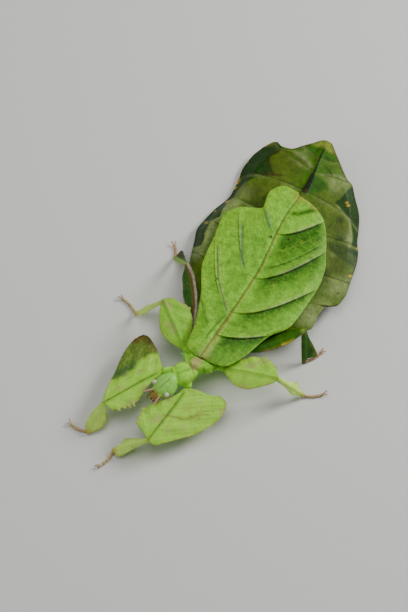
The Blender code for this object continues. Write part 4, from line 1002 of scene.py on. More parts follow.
def chest_parts():
    """Collar, middle chest, hind chest, leg roots and side spines, each a closed tube run into the next."""
    waist, neck = vec(*WAIST), vec(*NECK)
    heading = unit(neck - waist)
    reach = np.linalg.norm(neck - waist)
    share = np.linspace(-0.12, 1.12, 30)
    width, height = curve(COLLAR_PROFILE, share)
    path = waist + heading * (reach * share)[:, None]
    parts = [sweep(path, 1.1 * width, height, 40, power=0.62, square_to=heading)]
    far = np.linspace(-0.5, CHEST_END - WAIST[1] + 0.5, 60)
    y = np.linspace(CHEST_END - 0.5, HIP_END, 24)
    for (x_at, y_at), (width, top, under) in ((chest_middle(far), curve(CHEST_PROFILE, far)),
                                              ((0 * y, y), curve(HIND_CHEST_PROFILE, y))):
        path = np.stack([x_at, y_at, (top + under) / 2], 1)
        parts.append(sweep(path, width, (top - under) / 2, 40, vec(1, 0, 0), 0.85, vec(0, 1, 0)))
    for leg, root in COXA_ROOTS.items():
        share = np.linspace(0, 1, 14)
        path = vec(*root) + (vec(*LEGS[leg][0]) - vec(*root)) * share[:, None]
        parts.append(sweep(path, curve(COXA_SIZES, share), curve(COXA_SIZES, share), 24))
    for number in range(CHEST_SPINES):
        far, half = SPINE_START + SPINE_PITCH * number, SPINE_ROOT + SPINE_WIDENING * number
        middle = vec(*chest_middle(far), SPINE_HEIGHT)
        for _, sign in SIDES:
            path = [middle + vec(sign * (half - 0.8), 0, 0), middle + vec(sign * (half + 0.3), -0.05, 0.1),
                    middle + vec(sign * (half + 1.0), -0.3, 0.3)]
            radius = np.linspace(*SPINE_RADII, 8)
            parts.append(sweep(bend(path, 8), radius, radius, 10))
    return parts, heading, reach


# %% Make the chest
def make_chest():
    """Grooves and rims are bell curves across the collar, and grains are strewn over the top."""
    parts, heading, reach = chest_parts()
    mesh, points, normals = fuse("chest_skin", parts, SKIN_VOXEL, SKIN_ROUNDS)
    upper = ramp(normals[:, 2], 0.1, 0.6)
    from_waist = points - vec(*WAIST)
    share = from_waist @ heading / reach
    aside = from_waist @ unit(np.cross(heading, vec(0, 0, 1)))
    on_collar = ramp(share, 0.08, 0.2) * (1 - ramp(share, 0.9, 1.0))
    width = curve(COLLAR_PROFILE, share)[0]
    groove = bell(aside, 0.35) * on_collar * upper
    far_side = ramp(-aside, -0.5, 1.0)
    rim = bell(np.abs(aside) - 0.95 * width, 0.3) * on_collar * upper * (1 - 0.7 * far_side)
    seam = bell(share - 0.04, 0.06) * (np.abs(aside) < width)
    ridge = bell(points[:, 0], 0.4) * upper * ramp(points[:, 1], -3.0, -2.0)
    grain = grains(points, *CHEST_GRAINS, upper > 0.3)
    push_out(mesh, points, normals, CHEST_GRAIN_RISE * grain + COLLAR_RIM_RISE * rim
             - GROOVE_DEPTH * groove - SEAM_DEPTH * seam + CHEST_RIDGE_RISE * ridge)
    x, y = points[:, 0] + wander(points[:, 0], points[:, 1], 3.0, 0.35), points[:, 1]
    behind = ramp(y, -4.2, -3.2) * ramp(0.1 - share, 0, 0.1)
    half = curve(TAN_HALF, y)
    band = behind * (1 - ramp(np.abs(x - TAN_SLANT * (y - TAN_FROM)), half, half + 0.9)) * (0.3 + 0.7 * upper)
    flank = behind * ramp(points[:, 2], 8.0, 10.0)
    spine_line = SPINE_ROOT + 0.84 * (y - WAIST[1] - SPINE_START)
    spine = bell(points[:, 2] - SPINE_HEIGHT - 0.2, 0.8) * behind * ramp(
        np.abs(points[:, 0]) - spine_line, 0.1, 0.9)
    blotch = flank * ramp(wander(points[:, 0], y, 2.4, 1.0), 0.2, 0.6)
    marks = {"tan": band, "groove": groove, "rim": np.maximum(rim, 0.8 * seam), "grain": grain,
             "flank": flank, "blotch": blotch, "spine": spine}
    wear("chest_skin", mesh, marks, chest_cuticle, ["prothorax", "mesothorax", "metathorax"])


make_chest()

# %% [markdown]
# ## Head
# The head is an oval capsule that looks forward and a little down, blue-green and glossy, with fine
# grains, a shallow furrow down its middle, a socket for each feeler and a low rim round each eye. It
# could be sculpted from a ball. It is fused like the chest, because sockets and eye rims then melt into
# the capsule. The eyes, feelers and mouthparts are hard pieces of their own.

# %% Sizes of the head
# The head as (distance ahead of the neck, half width, half height)
HEAD_PROFILE = ((-0.9, 1.5, 1.4), (0.15, 1.7, 1.6), (0.8, 2.2, 2.1), (2.4, 3.1, 2.7), (4.4, 3.5, 2.8),
                (6.2, 3.2, 2.5), (7.5, 2.4, 1.9), (8.0, 1.7, 1.3), (8.25, 1.0, 0.8))
# Places on the head are (ahead of the neck, to its left, up)
EYE_AT = (6.1, 2.75, 1.45)
EYE_RADIUS = 0.8
# Half sizes of an eye as shares of its radius: aside, upwards and forwards
EYE_SHARES = (0.95, 1.06, 0.94)
# Half sizes in mm of the rim round an eye, in the same order, and how far it stands in from the eye
EYE_RIM = (0.85, 0.9, 0.88)
EYE_RIM_INSET = 0.6
EYE_RIM_DROP = 0.15
HEAD_VOXEL = 0.15
HEAD_ROUNDS = 4
HEAD_GRAINS = (240, 0.2)
HEAD_GRAIN_RISE = 0.06
FURROW_DEPTH = 0.12
BROW_DEPTH = 0.08
SOCKET_RADII = (0.7, 0.48)
ANTENNA_ROOT = (7.0, 1.1, 0.8)
ANTENNA_BASE = (8.3, 1.65, 1.5)
# Segments of a feeler as (start, length, half width)
FEELER_SEGMENTS = ((0.0, 0.55, 0.4), (0.55, 0.35, 0.34), (0.9, 0.3, 0.31), (1.2, 0.35, 0.32),
                   (1.55, 0.35, 0.31), (1.9, 0.4, 0.29), (2.3, 0.4, 0.26), (2.7, 0.45, 0.22))
FEELER_SAG = 0.02
FEELER_SUNK = 0.35


def on_head(forward, aside, above):
    """A point by its distances forward of the neck, to the left and up, in the head's own axes."""
    return vec(*NECK) + FORWARD * forward + LEFT * aside + UP * above


def mirrored(at, sign):
    """A point of the head on its left side, or the same point on its right side."""
    return on_head(at[0], sign * at[1], at[2])


print("the head ends", on_head(HEAD_PROFILE[-1][0], 0, 0).round(1))

# %% Finish of the head
# Smooth, glossy cuticle over a thin skin of wax: the eye sees a cool blue-green, browner round the mouth,
# with painted shade in a dark ring round the base of each eye.
head_cuticle = cuticle(
    "head_cuticle", ("#A8F050", "#92E244"),
    (("crown", "#A4EC66", 0.4), ("furrow", "#4C9030", 0.6), ("cheek", "#7E7A30", 0.75),
     ("face", "#B8A23C", 0.85), ("eye_base_shade", "#5A3A2A", 0.8), ("grain", "#A8E890", 0.3)),
    cloud=2.5, cell=0.7, net=("#58B04E", 0.1), grain=0.3, relief=0.05, mottle=0.14, roughness=(0.3, 0.45),
    gloss=0.25)


# %% Make the head
def make_head():
    """An oval tube along the head's own axis, with eye rims and feeler sockets fused on."""
    forward = np.linspace(HEAD_PROFILE[0][0], HEAD_PROFILE[-1][0], 48)
    width, height = curve(HEAD_PROFILE, forward)
    parts = [sweep(vec(*NECK) + FORWARD * forward[:, None], width, height, 56, LEFT, 1.0, FORWARD)]
    for _, sign in SIDES:
        root, base = mirrored(ANTENNA_ROOT, sign), mirrored(ANTENNA_BASE, sign)
        radius = np.linspace(*SOCKET_RADII, 8)
        parts.append(sweep(bend([root, (root + base) / 2, base], 8), radius, radius, 20))
        eye = on_head(EYE_AT[0], sign * (EYE_AT[1] - EYE_RIM_INSET), EYE_AT[2] - EYE_RIM_DROP)
        turn = np.linspace(0.2, np.pi - 0.2, 12)
        parts.append(sweep(eye + LEFT * np.cos(turn)[:, None] * EYE_RIM[0], EYE_RIM[1] * np.sin(turn),
                           EYE_RIM[2] * np.sin(turn), 24, UP, 1.0, LEFT))
    mesh, points, normals = fuse("head_skin", parts, HEAD_VOXEL, HEAD_ROUNDS)
    place = points - vec(*NECK)
    ahead, aside = place @ FORWARD, place @ LEFT
    upper = ramp(normals @ UP, 0.0, 0.5)
    furrow = bell(aside, 0.28) * upper * ramp(ahead, 1.0, 2.5) * (1 - ramp(ahead, 6.0, 7.0))
    brow = bell(np.abs(aside) - 0.5 - 0.28 * ahead, 0.3) * upper * ramp(ahead, 2.0, 3.0) * 0.6
    grain = grains(points, *HEAD_GRAINS, (upper > 0.2) & (ahead > 0.5))
    push_out(mesh, points, normals, HEAD_GRAIN_RISE * grain - FURROW_DEPTH * furrow - BROW_DEPTH * brow)
    # Painted shade in a ring round the base of each eye
    sockets = [bell(np.linalg.norm(points - mirrored(EYE_AT, sign), axis=1), 0.98, 6) for _, sign in SIDES]
    marks = {"crown": upper * ramp(ahead, 1.0, 4.0), "furrow": np.maximum(furrow, 0.7 * brow),
             "cheek": (1 - upper) * ramp(ahead, 4.0, 7.0), "face": ramp(ahead, 6.9, 8.0),
             "eye_base_shade": np.maximum(*sockets), "grain": grain}
    wear("head_skin", mesh, marks, head_cuticle, ["head"])


make_head()

# %% [markdown]
# ## Eyes
# A leaf insect's eyes are small cream globes of hundreds of lenses, with faint brown stripes. A round
# mesh from the menu would do, but rings along the axis that points aside make a globe whose stripes
# are simply heights in the head's own frame.

# %% Make the eyes
# Clear cuticle over the lenses: the eye sees wet, pale gloss. The real lenses are near 0.03 mm, and their
# net is drawn four times as coarse so that it shows.
eye_cuticle = cuticle(
    "eye_cuticle", ("#F4E6DC", "#E8CFC4"), (("stripe", "#A88270", 0.5),),
    cloud=0.8, cell=0.12, net=("#C8A898", 0.3), grain=0.15, relief=0.02, fleck=("#A88270", 0.1), mottle=0.06,
    roughness=(0.15, 0.25), gloss=0.6)


def make_eye(side, sign):
    """A ball flattened to the side: cosine along its axis, sine for the rings' radius."""
    turn = np.linspace(0.06, np.pi - 0.06, 30)
    centre = mirrored(EYE_AT, sign)
    path = centre + LEFT * sign * EYE_RADIUS * EYE_SHARES[0] * np.cos(turn)[:, None]
    radius = EYE_RADIUS * np.sin(turn)
    rings = sweep(path, EYE_SHARES[1] * radius, EYE_SHARES[2] * radius, 48, UP, 1.0, LEFT)
    height = (rings - centre) @ UP
    marks = {"stripe": bell(height - 0.1, 0.07) + bell(height + 0.25, 0.06)}
    build("eye_globe_" + side, [(rings, marks)], eye_cuticle, ["eye_" + side])


for side, sign in SIDES:
    make_eye(side, sign)

# %% [markdown]
# ## Feelers
# A female's feelers are short rods of a few segments. They could be cylinders set end to end. One
# tube whose radius swells in each segment is a single closed skin, and its rings carry the brown joints.

# %% Make the feelers
# Bare, tanned cuticle: the eye sees horn, darker at the joints and almost brown on the claws.
tan_cuticle = cuticle(
    "tan_cuticle", ("#D8B49A", "#C8A080"),
    (("joint", "#8A6648", 0.7), ("tip", "#9A7654", 0.6), ("claw", "#5A3B22", 0.85)),
    cloud=1.6, cell=0.5, net=("#A47C5C", 0.15), grain=0.25, relief=0.04, roughness=(0.35, 0.5), gloss=0.2)
# Places along one segment as shares of it, with the radius and the brown of the joint there
SEGMENT_SHARES = np.array((0.0, 0.12, 0.3, 0.55, 0.8, 0.94, 1.0))
SEGMENT_SWELL = np.array((0.62, 0.72, 0.84, 0.95, 1.0, 0.88, 0.66))
SEGMENT_JOINT = (1.0, 0.7, 0.1, 0.0, 0.0, 0.5, 1.0)


def make_feeler(side, sign):
    """Segments that widen forward, on a path that sags with the square of its length."""
    base = mirrored(ANTENNA_BASE, sign)
    aim = unit(base - mirrored(ANTENNA_ROOT, sign))
    along = np.concatenate([start + length * 0.98 * SEGMENT_SHARES for start, length, _ in FEELER_SEGMENTS])
    radius = np.concatenate([half * SEGMENT_SWELL for _, _, half in FEELER_SEGMENTS])
    joint = np.tile(SEGMENT_JOINT, len(FEELER_SEGMENTS))
    along[0] -= FEELER_SUNK
    path = base + aim * along[:, None] - np.outer(FEELER_SAG * along ** 2, (0, 0, 1))
    marks = {"joint": joint[:, None], "tip": ramp(along, 2.3, 3.1)[:, None]}
    build("feeler_" + side, [(sweep(path, radius, radius, 20), marks)], tan_cuticle,
          ["antenna_" + side])


for side, sign in SIDES:
    make_feeler(side, sign)

# %% [markdown]
# ## Mouthparts
# A leaf eater's mouth: an upper lip notched in its middle, two blunt jaws behind it, and four jointed
# palps that hang in front. They could be fused like the head, but each is hard and moves by itself on
# the real insect, so they are small closed shells joined in one piece.

# %% Make the mouthparts
# Hard brown cuticle: the eye sees varnished horn, paler on lip and palps and dark at their joints.
mouth_cuticle = cuticle(
    "mouth_cuticle", ("#9A7A30", "#7A5A20"), (("joint", "#3E2412", 0.7), ("pale", "#C8B04A", 0.8)),
    cloud=1.2, cell=0.5, net=("#5A3A20", 0.15), grain=0.25, relief=0.04, roughness=(0.3, 0.45), gloss=0.3)
# The upper lip as (distance from its root, half width, half height)
LIP_PROFILE = ((0.0, 1.8, 1.0), (0.5, 1.9, 0.95), (1.1, 1.75, 0.75), (1.6, 1.35, 0.5), (1.9, 0.9, 0.3))
LIP_AT = (8.1, -0.05)
LIP_FALL = 0.2
NOTCH_DEPTH = 0.35
JAW_PATH = ((8.3, 0.85, -0.55), (9.7, 0.95, -0.9), (10.5, 0.3, -1.15))
JAW_WIDTH = (0.6, 0.25)
JAW_HEIGHT = (0.55, 0.2)
# Palps as (points, half width, number of joints)
PALPS = ((((8.6, 0.9, -0.5), (9.6, 1.7, -0.5), (10.5, 1.8, -0.9), (11.1, 1.35, -1.5)), 0.34, 4),
         (((8.5, 0.4, -0.9), (9.4, 0.7, -1.4), (10.1, 0.65, -2.0)), 0.26, 3))


def palp(path, half, joints):
    """A limb of a few joints: a path through its points, with a radius that pinches at each joint."""
    stations = [(k / (len(path) - 1), *at) for k, at in enumerate(path)]
    t = np.linspace(0, 1, 10 * joints + 1)
    phase = np.abs(np.sin(np.pi * joints * t))
    radius = half * (0.72 + 0.28 * phase ** 0.6) * (1 - 0.35 * t)
    return sweep(curve(stations, t).T, radius, radius, 16), {"joint": (1 - phase[:, None]) ** 3, "pale": 0.5}


def make_mouth():
    """Lip, jaws and palps, each by its own profile or path in the head's axes."""
    far = np.linspace(0.0, LIP_PROFILE[-1][0], 16)
    width, height = curve(LIP_PROFILE, far)
    path = np.stack([on_head(LIP_AT[0] + f, 0, LIP_AT[1] - LIP_FALL * f) for f in far])
    lip = sweep(path, width, height, 36, LEFT, 0.9, FORWARD)
    notch = bell((lip - vec(*NECK)) @ LEFT, 0.3) * ramp(far, 1.0, 1.9)[:, None]
    lip = lip - FORWARD * (NOTCH_DEPTH * notch)[..., None]
    parts = [(lip, {"pale": 0.55, "joint": notch})]
    for _, sign in SIDES:
        jaw = bend([mirrored(at, sign) for at in JAW_PATH], 12)
        width, height = np.linspace(*JAW_WIDTH, 12), np.linspace(*JAW_HEIGHT, 12)
        parts.append((sweep(jaw, width, height, 18), {"joint": 0.2}))
        for path, half, joints in PALPS:
            parts.append(palp([mirrored(at, sign) for at in path], half, joints))
    build("mouth", parts, mouth_cuticle, ["mouthparts"])


make_mouth()

# %% [markdown]
# ## Legs
# Each leg is one skin from hip to toe. The thigh and the shin have a round shaft between two leaf-thin
# lobes. Shaft and lobes could be pieces of their own, but the skin runs on from one to the other. So
# one grid runs along the leg and across the lobes, and a row of teeth is a saw tooth added to a lobe's
# width. At hip, knee and ankle the rows turn onto one plane halfway between the two lengths, so the
# next length starts on the ring where the last one ends.

# %% Sizes of the legs
SHAFT_HALF = 0.8
SHAFT_THICK = 1.4
LOBE_THICK = 0.62
RIM_THICK = 0.24
LOBE_DROOP = 0.6
JOINT_ZONE = 0.1
LEG_COLUMNS = 41
THIGH_ROWS = 150
SHIN_ROWS = 70
RIM_RIPPLE = 0.05
RIPPLE_RATE = 150
LOBE_WAVE = 0.12
LEG_VEIN_PITCH = 1.9
LEG_VEIN_RISE = 0.05
# Rings inside the chest, as (depth in mm, share of the hip's size)
ROOT_RINGS = ((1.1, 0.5), (0.8, 0.8), (0.4, 0.95))
FOOT_RADIUS = 0.48
FOOT_JOINTS = 5
FOOT_ROWS = 72
FOOT_WAIST = 0.66
FOOT_SWELL = 0.34
TOE_LIFT = 0.35
# How far the middle of each foot bows aside
FOOT_BOW = {"fore_r": -0.6, "fore_l": -0.6, "mid_r": 0.5, "mid_l": 0.5, "hind_r": 0.3, "hind_l": 0.5}
CLAW_LENGTH = 1.4
CLAW_SPREAD = 0.75
CLAW_RISE = 0.75
CLAW_DROP = 0.35
CLAW_HALF = (0.27, 0.24)


def lobe_rows(*middle):
    """Rows of a lobe as (place, distance along as a share, width in mm), with the joint at both ends."""
    return ((0.0, 0.0, SHAFT_HALF), *middle, (1.0, 1.0, SHAFT_HALF))


# Lobes of the thighs, then of the shins as (rear lobe, front lobe)
FORE_OUTER = {
    "r": lobe_rows((0.065, -0.02, 2.8), (0.13, -0.08, 6.4), (0.18, -0.092, 9.4), (0.23, -0.09, 12.2),
                   (0.31, -0.02, 14.5), (0.39, 0.10, 14.5), (0.50, 0.28, 13.0), (0.62, 0.46, 10.4),
                   (0.75, 0.64, 7.3), (0.88, 0.83, 4.3), (0.96, 0.95, 1.8)),
    "l": lobe_rows((0.06, -0.045, 4.6), (0.12, -0.11, 7.1), (0.18, -0.18, 9.6), (0.24, -0.17, 11.7),
                   (0.30, -0.09, 13.0), (0.38, 0.05, 13.5), (0.50, 0.28, 12.5), (0.62, 0.50, 10.5),
                   (0.78, 0.76, 6.6), (0.90, 0.92, 4.0), (0.97, 0.99, 2.2)),
}
FORE_INNER = {
    "r": lobe_rows((0.15, 0.15, 1.0), (0.3, 0.30, 2.0), (0.45, 0.46, 3.7), (0.58, 0.59, 4.9),
                   (0.7, 0.69, 4.8), (0.85, 0.85, 3.8), (0.95, 0.97, 3.0)),
    "l": lobe_rows((0.15, 0.15, 1.2), (0.3, 0.30, 2.7), (0.45, 0.46, 4.9), (0.58, 0.60, 6.5),
                   (0.7, 0.72, 6.6), (0.8, 0.82, 6.0), (0.9, 0.92, 4.8), (0.97, 0.985, 3.4)),
}
MID_REAR = lobe_rows((0.12, 0.12, 2.2), (0.3, 0.30, 4.4), (0.5, 0.50, 5.8), (0.65, 0.66, 6.0),
                     (0.8, 0.82, 4.6), (0.93, 0.95, 2.6))
MID_FRONT = lobe_rows((0.12, 0.10, 2.6), (0.3, 0.27, 4.7), (0.48, 0.46, 5.5), (0.68, 0.68, 4.4),
                      (0.85, 0.86, 2.8), (0.95, 0.96, 1.6))
HIND_REAR = lobe_rows((0.2, 0.20, 1.2), (0.5, 0.50, 2.0), (0.8, 0.80, 1.9), (0.93, 0.94, 1.3))
HIND_FRONT = lobe_rows((0.15, 0.14, 1.3), (0.4, 0.38, 3.1), (0.62, 0.60, 3.7), (0.8, 0.78, 3.2),
                       (0.92, 0.92, 2.0))
FORE_SHIN = {
    "r": (lobe_rows((0.2, 0.2, 1.3), (0.5, 0.5, 1.8), (0.8, 0.8, 1.7), (0.95, 0.97, 1.2)),
          lobe_rows((0.2, 0.18, 2.0), (0.42, 0.4, 3.4), (0.6, 0.6, 3.5), (0.8, 0.82, 2.6),
                    (0.93, 0.96, 1.4))),
    "l": (lobe_rows((0.25, 0.25, 0.9), (0.55, 0.55, 1.6), (0.82, 0.82, 2.4), (0.94, 0.96, 1.7)),
          lobe_rows((0.15, 0.15, 1.0), (0.4, 0.42, 2.1), (0.6, 0.65, 2.8), (0.72, 0.75, 1.7),
                    (0.86, 0.87, 0.95))),
}
MID_SHIN = (lobe_rows((0.25, 0.25, 0.95), (0.5, 0.5, 1.6), (0.7, 0.75, 2.7), (0.77, 0.79, 1.5),
                      (0.88, 0.88, 0.85)),
            lobe_rows((0.4, 0.4, 1.1), (0.68, 0.68, 1.8), (0.82, 0.82, 1.3), (0.92, 0.92, 0.85)))
HIND_SHIN = (lobe_rows((0.25, 0.22, 1.4), (0.6, 0.58, 3.1), (0.85, 0.92, 4.3), (0.93, 0.97, 3.0)),
             lobe_rows((0.5, 0.5, 0.9)))
# Widths of single legs against those rows, as (rear lobe, front lobe, both lobes of the shin)
LOBE_SHARE = {"mid_r": (1.08, 0.84, 1.0), "hind_r": (1.0, 1.0, 0.72), "hind_l": (2.0, 0.66, 1.0)}
# Teeth as (place of the first, place of the last, number, depth in mm)
FORE_TEETH = (0.60, 0.97, 5, 1.25)
MID_TEETH = (0.62, 0.95, 4, 0.6)
TOOTH_PEAK = 0.55
print("the fore thighs carry", FORE_TEETH[2], "teeth, the middle ones", MID_TEETH[2])


# %% Planes of the joints, teeth, and lobes of another width
def joint_normals(leg):
    """The planes on which hip, knee and ankle are cut, each halfway between its two lengths."""
    points = [vec(*COXA_ROOTS[leg]), *(vec(*p) for p in LEGS[leg][:4])]
    headings = [unit(b - a) for a, b in zip(points[:-1], points[1:])]
    return [unit(a + b) for a, b in zip(headings[:-1], headings[1:])]


def tooth_height(places, start, end, count, depth):
    """A saw tooth along the margin, zero in each valley, whose teeth differ a little in height."""
    turn = np.clip((places - start) / (end - start) * count, 0, count - 1e-6)
    phase, sizes = turn % 1.0, depth * (0.8 + 0.3 * np.sin(2.4 * np.arange(count) + 1.0))
    height = np.where(phase < TOOTH_PEAK, phase / TOOTH_PEAK, (1 - phase) / (1 - TOOTH_PEAK))
    inside = (places > start) & (places < end)
    return np.where(inside, height * sizes[turn.astype(int)], 0.0)


def scaled(rows, share):
    """The rows of a lobe with their widths scaled, apart from the two joints."""
    return [(place, far, max(width * share, SHAFT_HALF)) for place, far, width in rows]


# %% The thigh or shin as a function of the place along it and across it
def limb(start, end, lobe_toward, rear, front, normals, teeth=(None, None), bow=0.0, rows=SHIN_ROWS):
    """Shaft and lobes: a straight shaft, lobes to both sides, thick as a bell curve round the shaft."""
    along = unit(end - start)
    lobe = unit(vec(*lobe_toward) - along * (vec(*lobe_toward) @ along))
    face = np.cross(along, lobe)
    face = face if face[2] >= 0 else -face
    length = np.linalg.norm(end - start)
    places = np.linspace(0, 1, rows)
    margins = []
    for stations, row in ((rear, teeth[0]), (front, teeth[1])):
        far, width = curve(stations, places)
        tooth = tooth_height(places, *row) if row else 0 * places
        ripple = RIM_RIPPLE * np.sin(places * RIPPLE_RATE) * ramp(width, 1.5, 3.0)
        margins.append((far * length, width + tooth + ripple))
    share = np.sin(np.linspace(-np.pi / 2, np.pi / 2, LEG_COLUMNS))[None, :]
    far, width = (np.where(share > 0, a[:, None], b[:, None]) for a, b in zip(*margins))
    reach, shaft = np.abs(share), places[:, None] * length
    a, b = shaft + (far - shaft) * reach, width * share
    widest = max(margins[0][1].max(), margins[1][1].max())
    lobed = ramp(np.abs(b), 0.8, 3.0)
    middle = bow * 4 * (places * (1 - places))[:, None] - LOBE_DROOP * (b / widest) ** 2
    middle = middle + LOBE_WAVE * lobed * np.sin(1.3 * a + 0.9 * np.abs(b))
    core = (SHAFT_THICK - LOBE_THICK) * bell(b, 0.62)
    half = (RIM_THICK + (LOBE_THICK - RIM_THICK) * (1 - reach ** 4) + core) / 2
    vein = lobed * np.cos(2 * np.pi * (0.55 * a + 0.5 * np.abs(b)) / LEG_VEIN_PITCH) ** 8
    centre = start + a[..., None] * along + b[..., None] * lobe
    top = centre + (middle + half + LEG_VEIN_RISE * vein)[..., None] * face
    bottom = centre + (middle - half)[..., None] * face
    base = start + a[..., None] * along
    for surface in (top, bottom):
        for normal, near in ((normals[0], places), (normals[1], 1 - places)):
            slide = -((surface - base) @ normal) / (along @ normal)
            surface += (slide * np.clip(1 - near / JOINT_ZONE, 0, 1)[:, None])[..., None] * along
    from_rim = width - np.abs(b)
    marks = {
        "shaft": bell(b, 0.2 + 0.14 * ramp(shaft, 0.7 * length, length)) * ramp(shaft, 1.0, 3.0),
        "rim": bell(from_rim, 0.4) * ramp(width, 1.6, 2.6), "vein": vein,
        "joint": np.maximum(bell(shaft, 1.1), bell(length - shaft, 1.1)) + 0 * b,
        "rear": ramp(b, 0.6, 2.0), "place": a / length, "rear_side": b + 0 * a,
        "rear_rim": bell(from_rim - 0.3, 0.4) * (b > 0), "rear_inside": bell(from_rim - 1.1, 0.35) * (b > 0),
    }
    return plate_rings(top, bottom), {mark: both_faces(values) for mark, values in marks.items()}


# %% [markdown]
# ## Feet and claws
# A foot has five short joints, each wider towards the toe, and ends in two hooked claws. They could be
# beads on a string. One tube that runs on from the shin's last ring keeps the leg a single skin, and
# only the claws, which are hard and brown, are pieces of their own.

# %% Feet
def foot(leg, around):
    """Five joints that widen towards the toe, on a path that bows aside as a sine and lies on the floor."""
    ankle, toe = vec(*LEGS[leg][2]), vec(*LEGS[leg][3])
    t = np.linspace(0, 1, FOOT_ROWS)
    heading = (toe - ankle) * vec(1, 1, 0)
    aside = unit(np.cross(toe - ankle, vec(0, 0, 1)))
    path = ankle + t[:, None] * heading + np.outer(FOOT_BOW[leg] * np.sin(np.pi * t), aside)
    rise = ((0.0, ankle[2]), (0.25, TOE_HEIGHT), (0.85, TOE_HEIGHT), (1.0, TOE_HEIGHT + TOE_LIFT))
    path[:, 2] = curve(rise, t)
    phase = (t * FOOT_JOINTS) % 1.0
    swell = FOOT_WAIST + FOOT_SWELL * ramp(phase, 0.0, 0.65) * (1 - ramp(phase, 0.86, 1.0))
    radius = FOOT_RADIUS * swell * (1 - 0.45 * ramp(t, 0.96, 1.0))
    rings = sweep(path, radius, radius * 0.95, around)
    rings[..., 2] = np.maximum(rings[..., 2], 0.0)
    joint = bell(np.minimum(phase, 1 - phase), 0.1)
    return rings, {"foot": ramp(t, 0.0, 0.06)[:, None], "foot_joint": joint[:, None]}, path, aside


def follow(last, rings, marks):
    """Turn the rings the same way round as the last one, and roll them to meet it point to point."""
    def area(ring):
        """Twice the ring's area as a vector: the cross products of neighbouring spokes, added up."""
        spokes = ring - ring.mean(axis=0)
        return np.sum(np.cross(spokes, np.roll(spokes, -1, axis=0)), axis=0)

    if area(last) @ area(rings[0]) < 0:
        rings, marks = rings[:, ::-1], {mark: values[:, ::-1] for mark, values in marks.items()}
    turn = int(np.argmin([np.sum((np.roll(rings[0], k, axis=0) - last) ** 2) for k in range(len(last))]))
    marks = {mark: np.roll(values, turn, axis=1) for mark, values in marks.items()}
    return np.roll(rings, turn, axis=1), marks


# %% Claws
def claw(path, aside, sign):
    """A hook from inside the toe, up, out and down again, tapering to a point."""
    ahead = unit((path[-1] - path[-6]) * vec(1, 1, 0))
    spread = aside * sign * CLAW_SPREAD
    rise = path[-1] + ahead * 0.75 * CLAW_LENGTH + spread + vec(0, 0, CLAW_RISE)
    tip = path[-1] + ahead * 0.8 * CLAW_LENGTH + spread - vec(0, 0, CLAW_DROP)
    taper = np.linspace(1, 0.15, 16)
    hook = bend([path[-1] - ahead * 0.5, rise, tip], 16)
    rings = sweep(hook, CLAW_HALF[0] * taper, CLAW_HALF[1] * taper, 14)
    return rings, {"claw": ramp(1 - taper, 0.1, 0.6)[:, None]}


print("a claw is", CLAW_LENGTH, "mm long and a foot", round(2 * FOOT_RADIUS, 2), "mm thick")

# %% Finishes of the legs
# Thin cuticle of the lobes: the eye sees a fresh leaf with worn, rusty places, and horn on the feet. The
# hind legs lie under the wings and are painted darker for the wings' shade over them, with a rusty rim.
FOOT_LAYERS = (("foot", "#CCAA80", 1.0), ("foot_joint", "#8A6240", 0.6))
LEG_LAYERS = (("vein", "#8CB83C", 0.3), ("deep", "#6CB41C", 0.5), ("shin", "#D6FF74", 0.95),
              ("pink", "#BCA078", 0.45), ("shaft", "#3E6A16", 0.92), ("rim", "#A88E4A", 0.55),
              ("joint", "#8AA030", 0.4), ("scar", "#525E28", 0.88), ("teal", "#2E5A34", 0.75),
              ("scar_rim", "#6E3C1C", 0.85), ("streak", "#8A5648", 0.62), ("foot_start", "#D8B058", 0.7),
              *FOOT_LAYERS)
# The dark layer is painted shade on the rear lobe of the right hind shin
HIND_LAYERS = (("vein", "#4A7A18", 0.3), ("light", "#3E6E08", 0.5), ("rim", "#A07A3A", 0.6),
               ("joint", "#7A7A30", 0.6), ("ridge", "#C8AC9C", 0.9), ("red", "#7A4428", 0.8),
               ("yellow", "#C2B030", 0.85), ("pale", "#9CC450", 0.85), ("dark", "#1E2E08", 0.85),
               *FOOT_LAYERS)
limb_cuticle = cuticle("limb_cuticle", ("#B2EC4A", "#A2E03C"), LEG_LAYERS, cloud=5.0, cell=1.0,
                       net=("#84B83A", 0.2), fleck=("#A06A40", 0.3), mottle=0.13)
# A darker copy of the other legs' finish, painted with the shade of the wings over the hind legs
shaded_hind_limb_cuticle = cuticle("shaded_hind_limb_cuticle", ("#3C7408", "#2A5804"), HIND_LAYERS, cloud=4.0, cell=0.9,
                            net=("#1E4204", 0.2), mottle=0.25)

# %% Marks of single legs
# Points in mm: worn patch and streaks of the front thighs, streak of the left hind thigh
SCAR = ((-12.4, -1.6), (-16.6, -5.6), (-17.8, -9.4), (-18.3, -11.8), (-20.8, -16.7), (-26.0, -18.0),
        (-30.0, -8.0), (-24.0, 6.0), (-14.0, 4.0))
SCAR_RIM = ((-22.6, -3.4), (-21.4, -0.6), (-19.4, 0.9), (-16.4, 0.4), (-12.6, -2.6))
TEAL_LINE = ((-17.6, -8.0), (-18.6, -10.4), (-20.2, -13.6), (-22.0, -15.4))
STREAKS = (((-3.0, -19.9), (0.1, -18.9), (4.7, -17.2), (7.2, -14.6), (8.2, -12.7), (10.9, -10.4)),
           ((5.2, -16.6), (6.4, -14.4), (7.0, -12.9)), ((7.6, -13.8), (9.2, -13.0), (10.8, -12.4)))
WORN_CORNER = (12.0, -6.6)
HIND_YELLOW = ((19.0, 16.4), (20.6, 18.0), (22.6, 20.0))
HIND_KNEE = (23.0, 23.4)
SHAFT_STRENGTH = {"fore": 1.0, "mid": 0.5, "hind": 0.0}


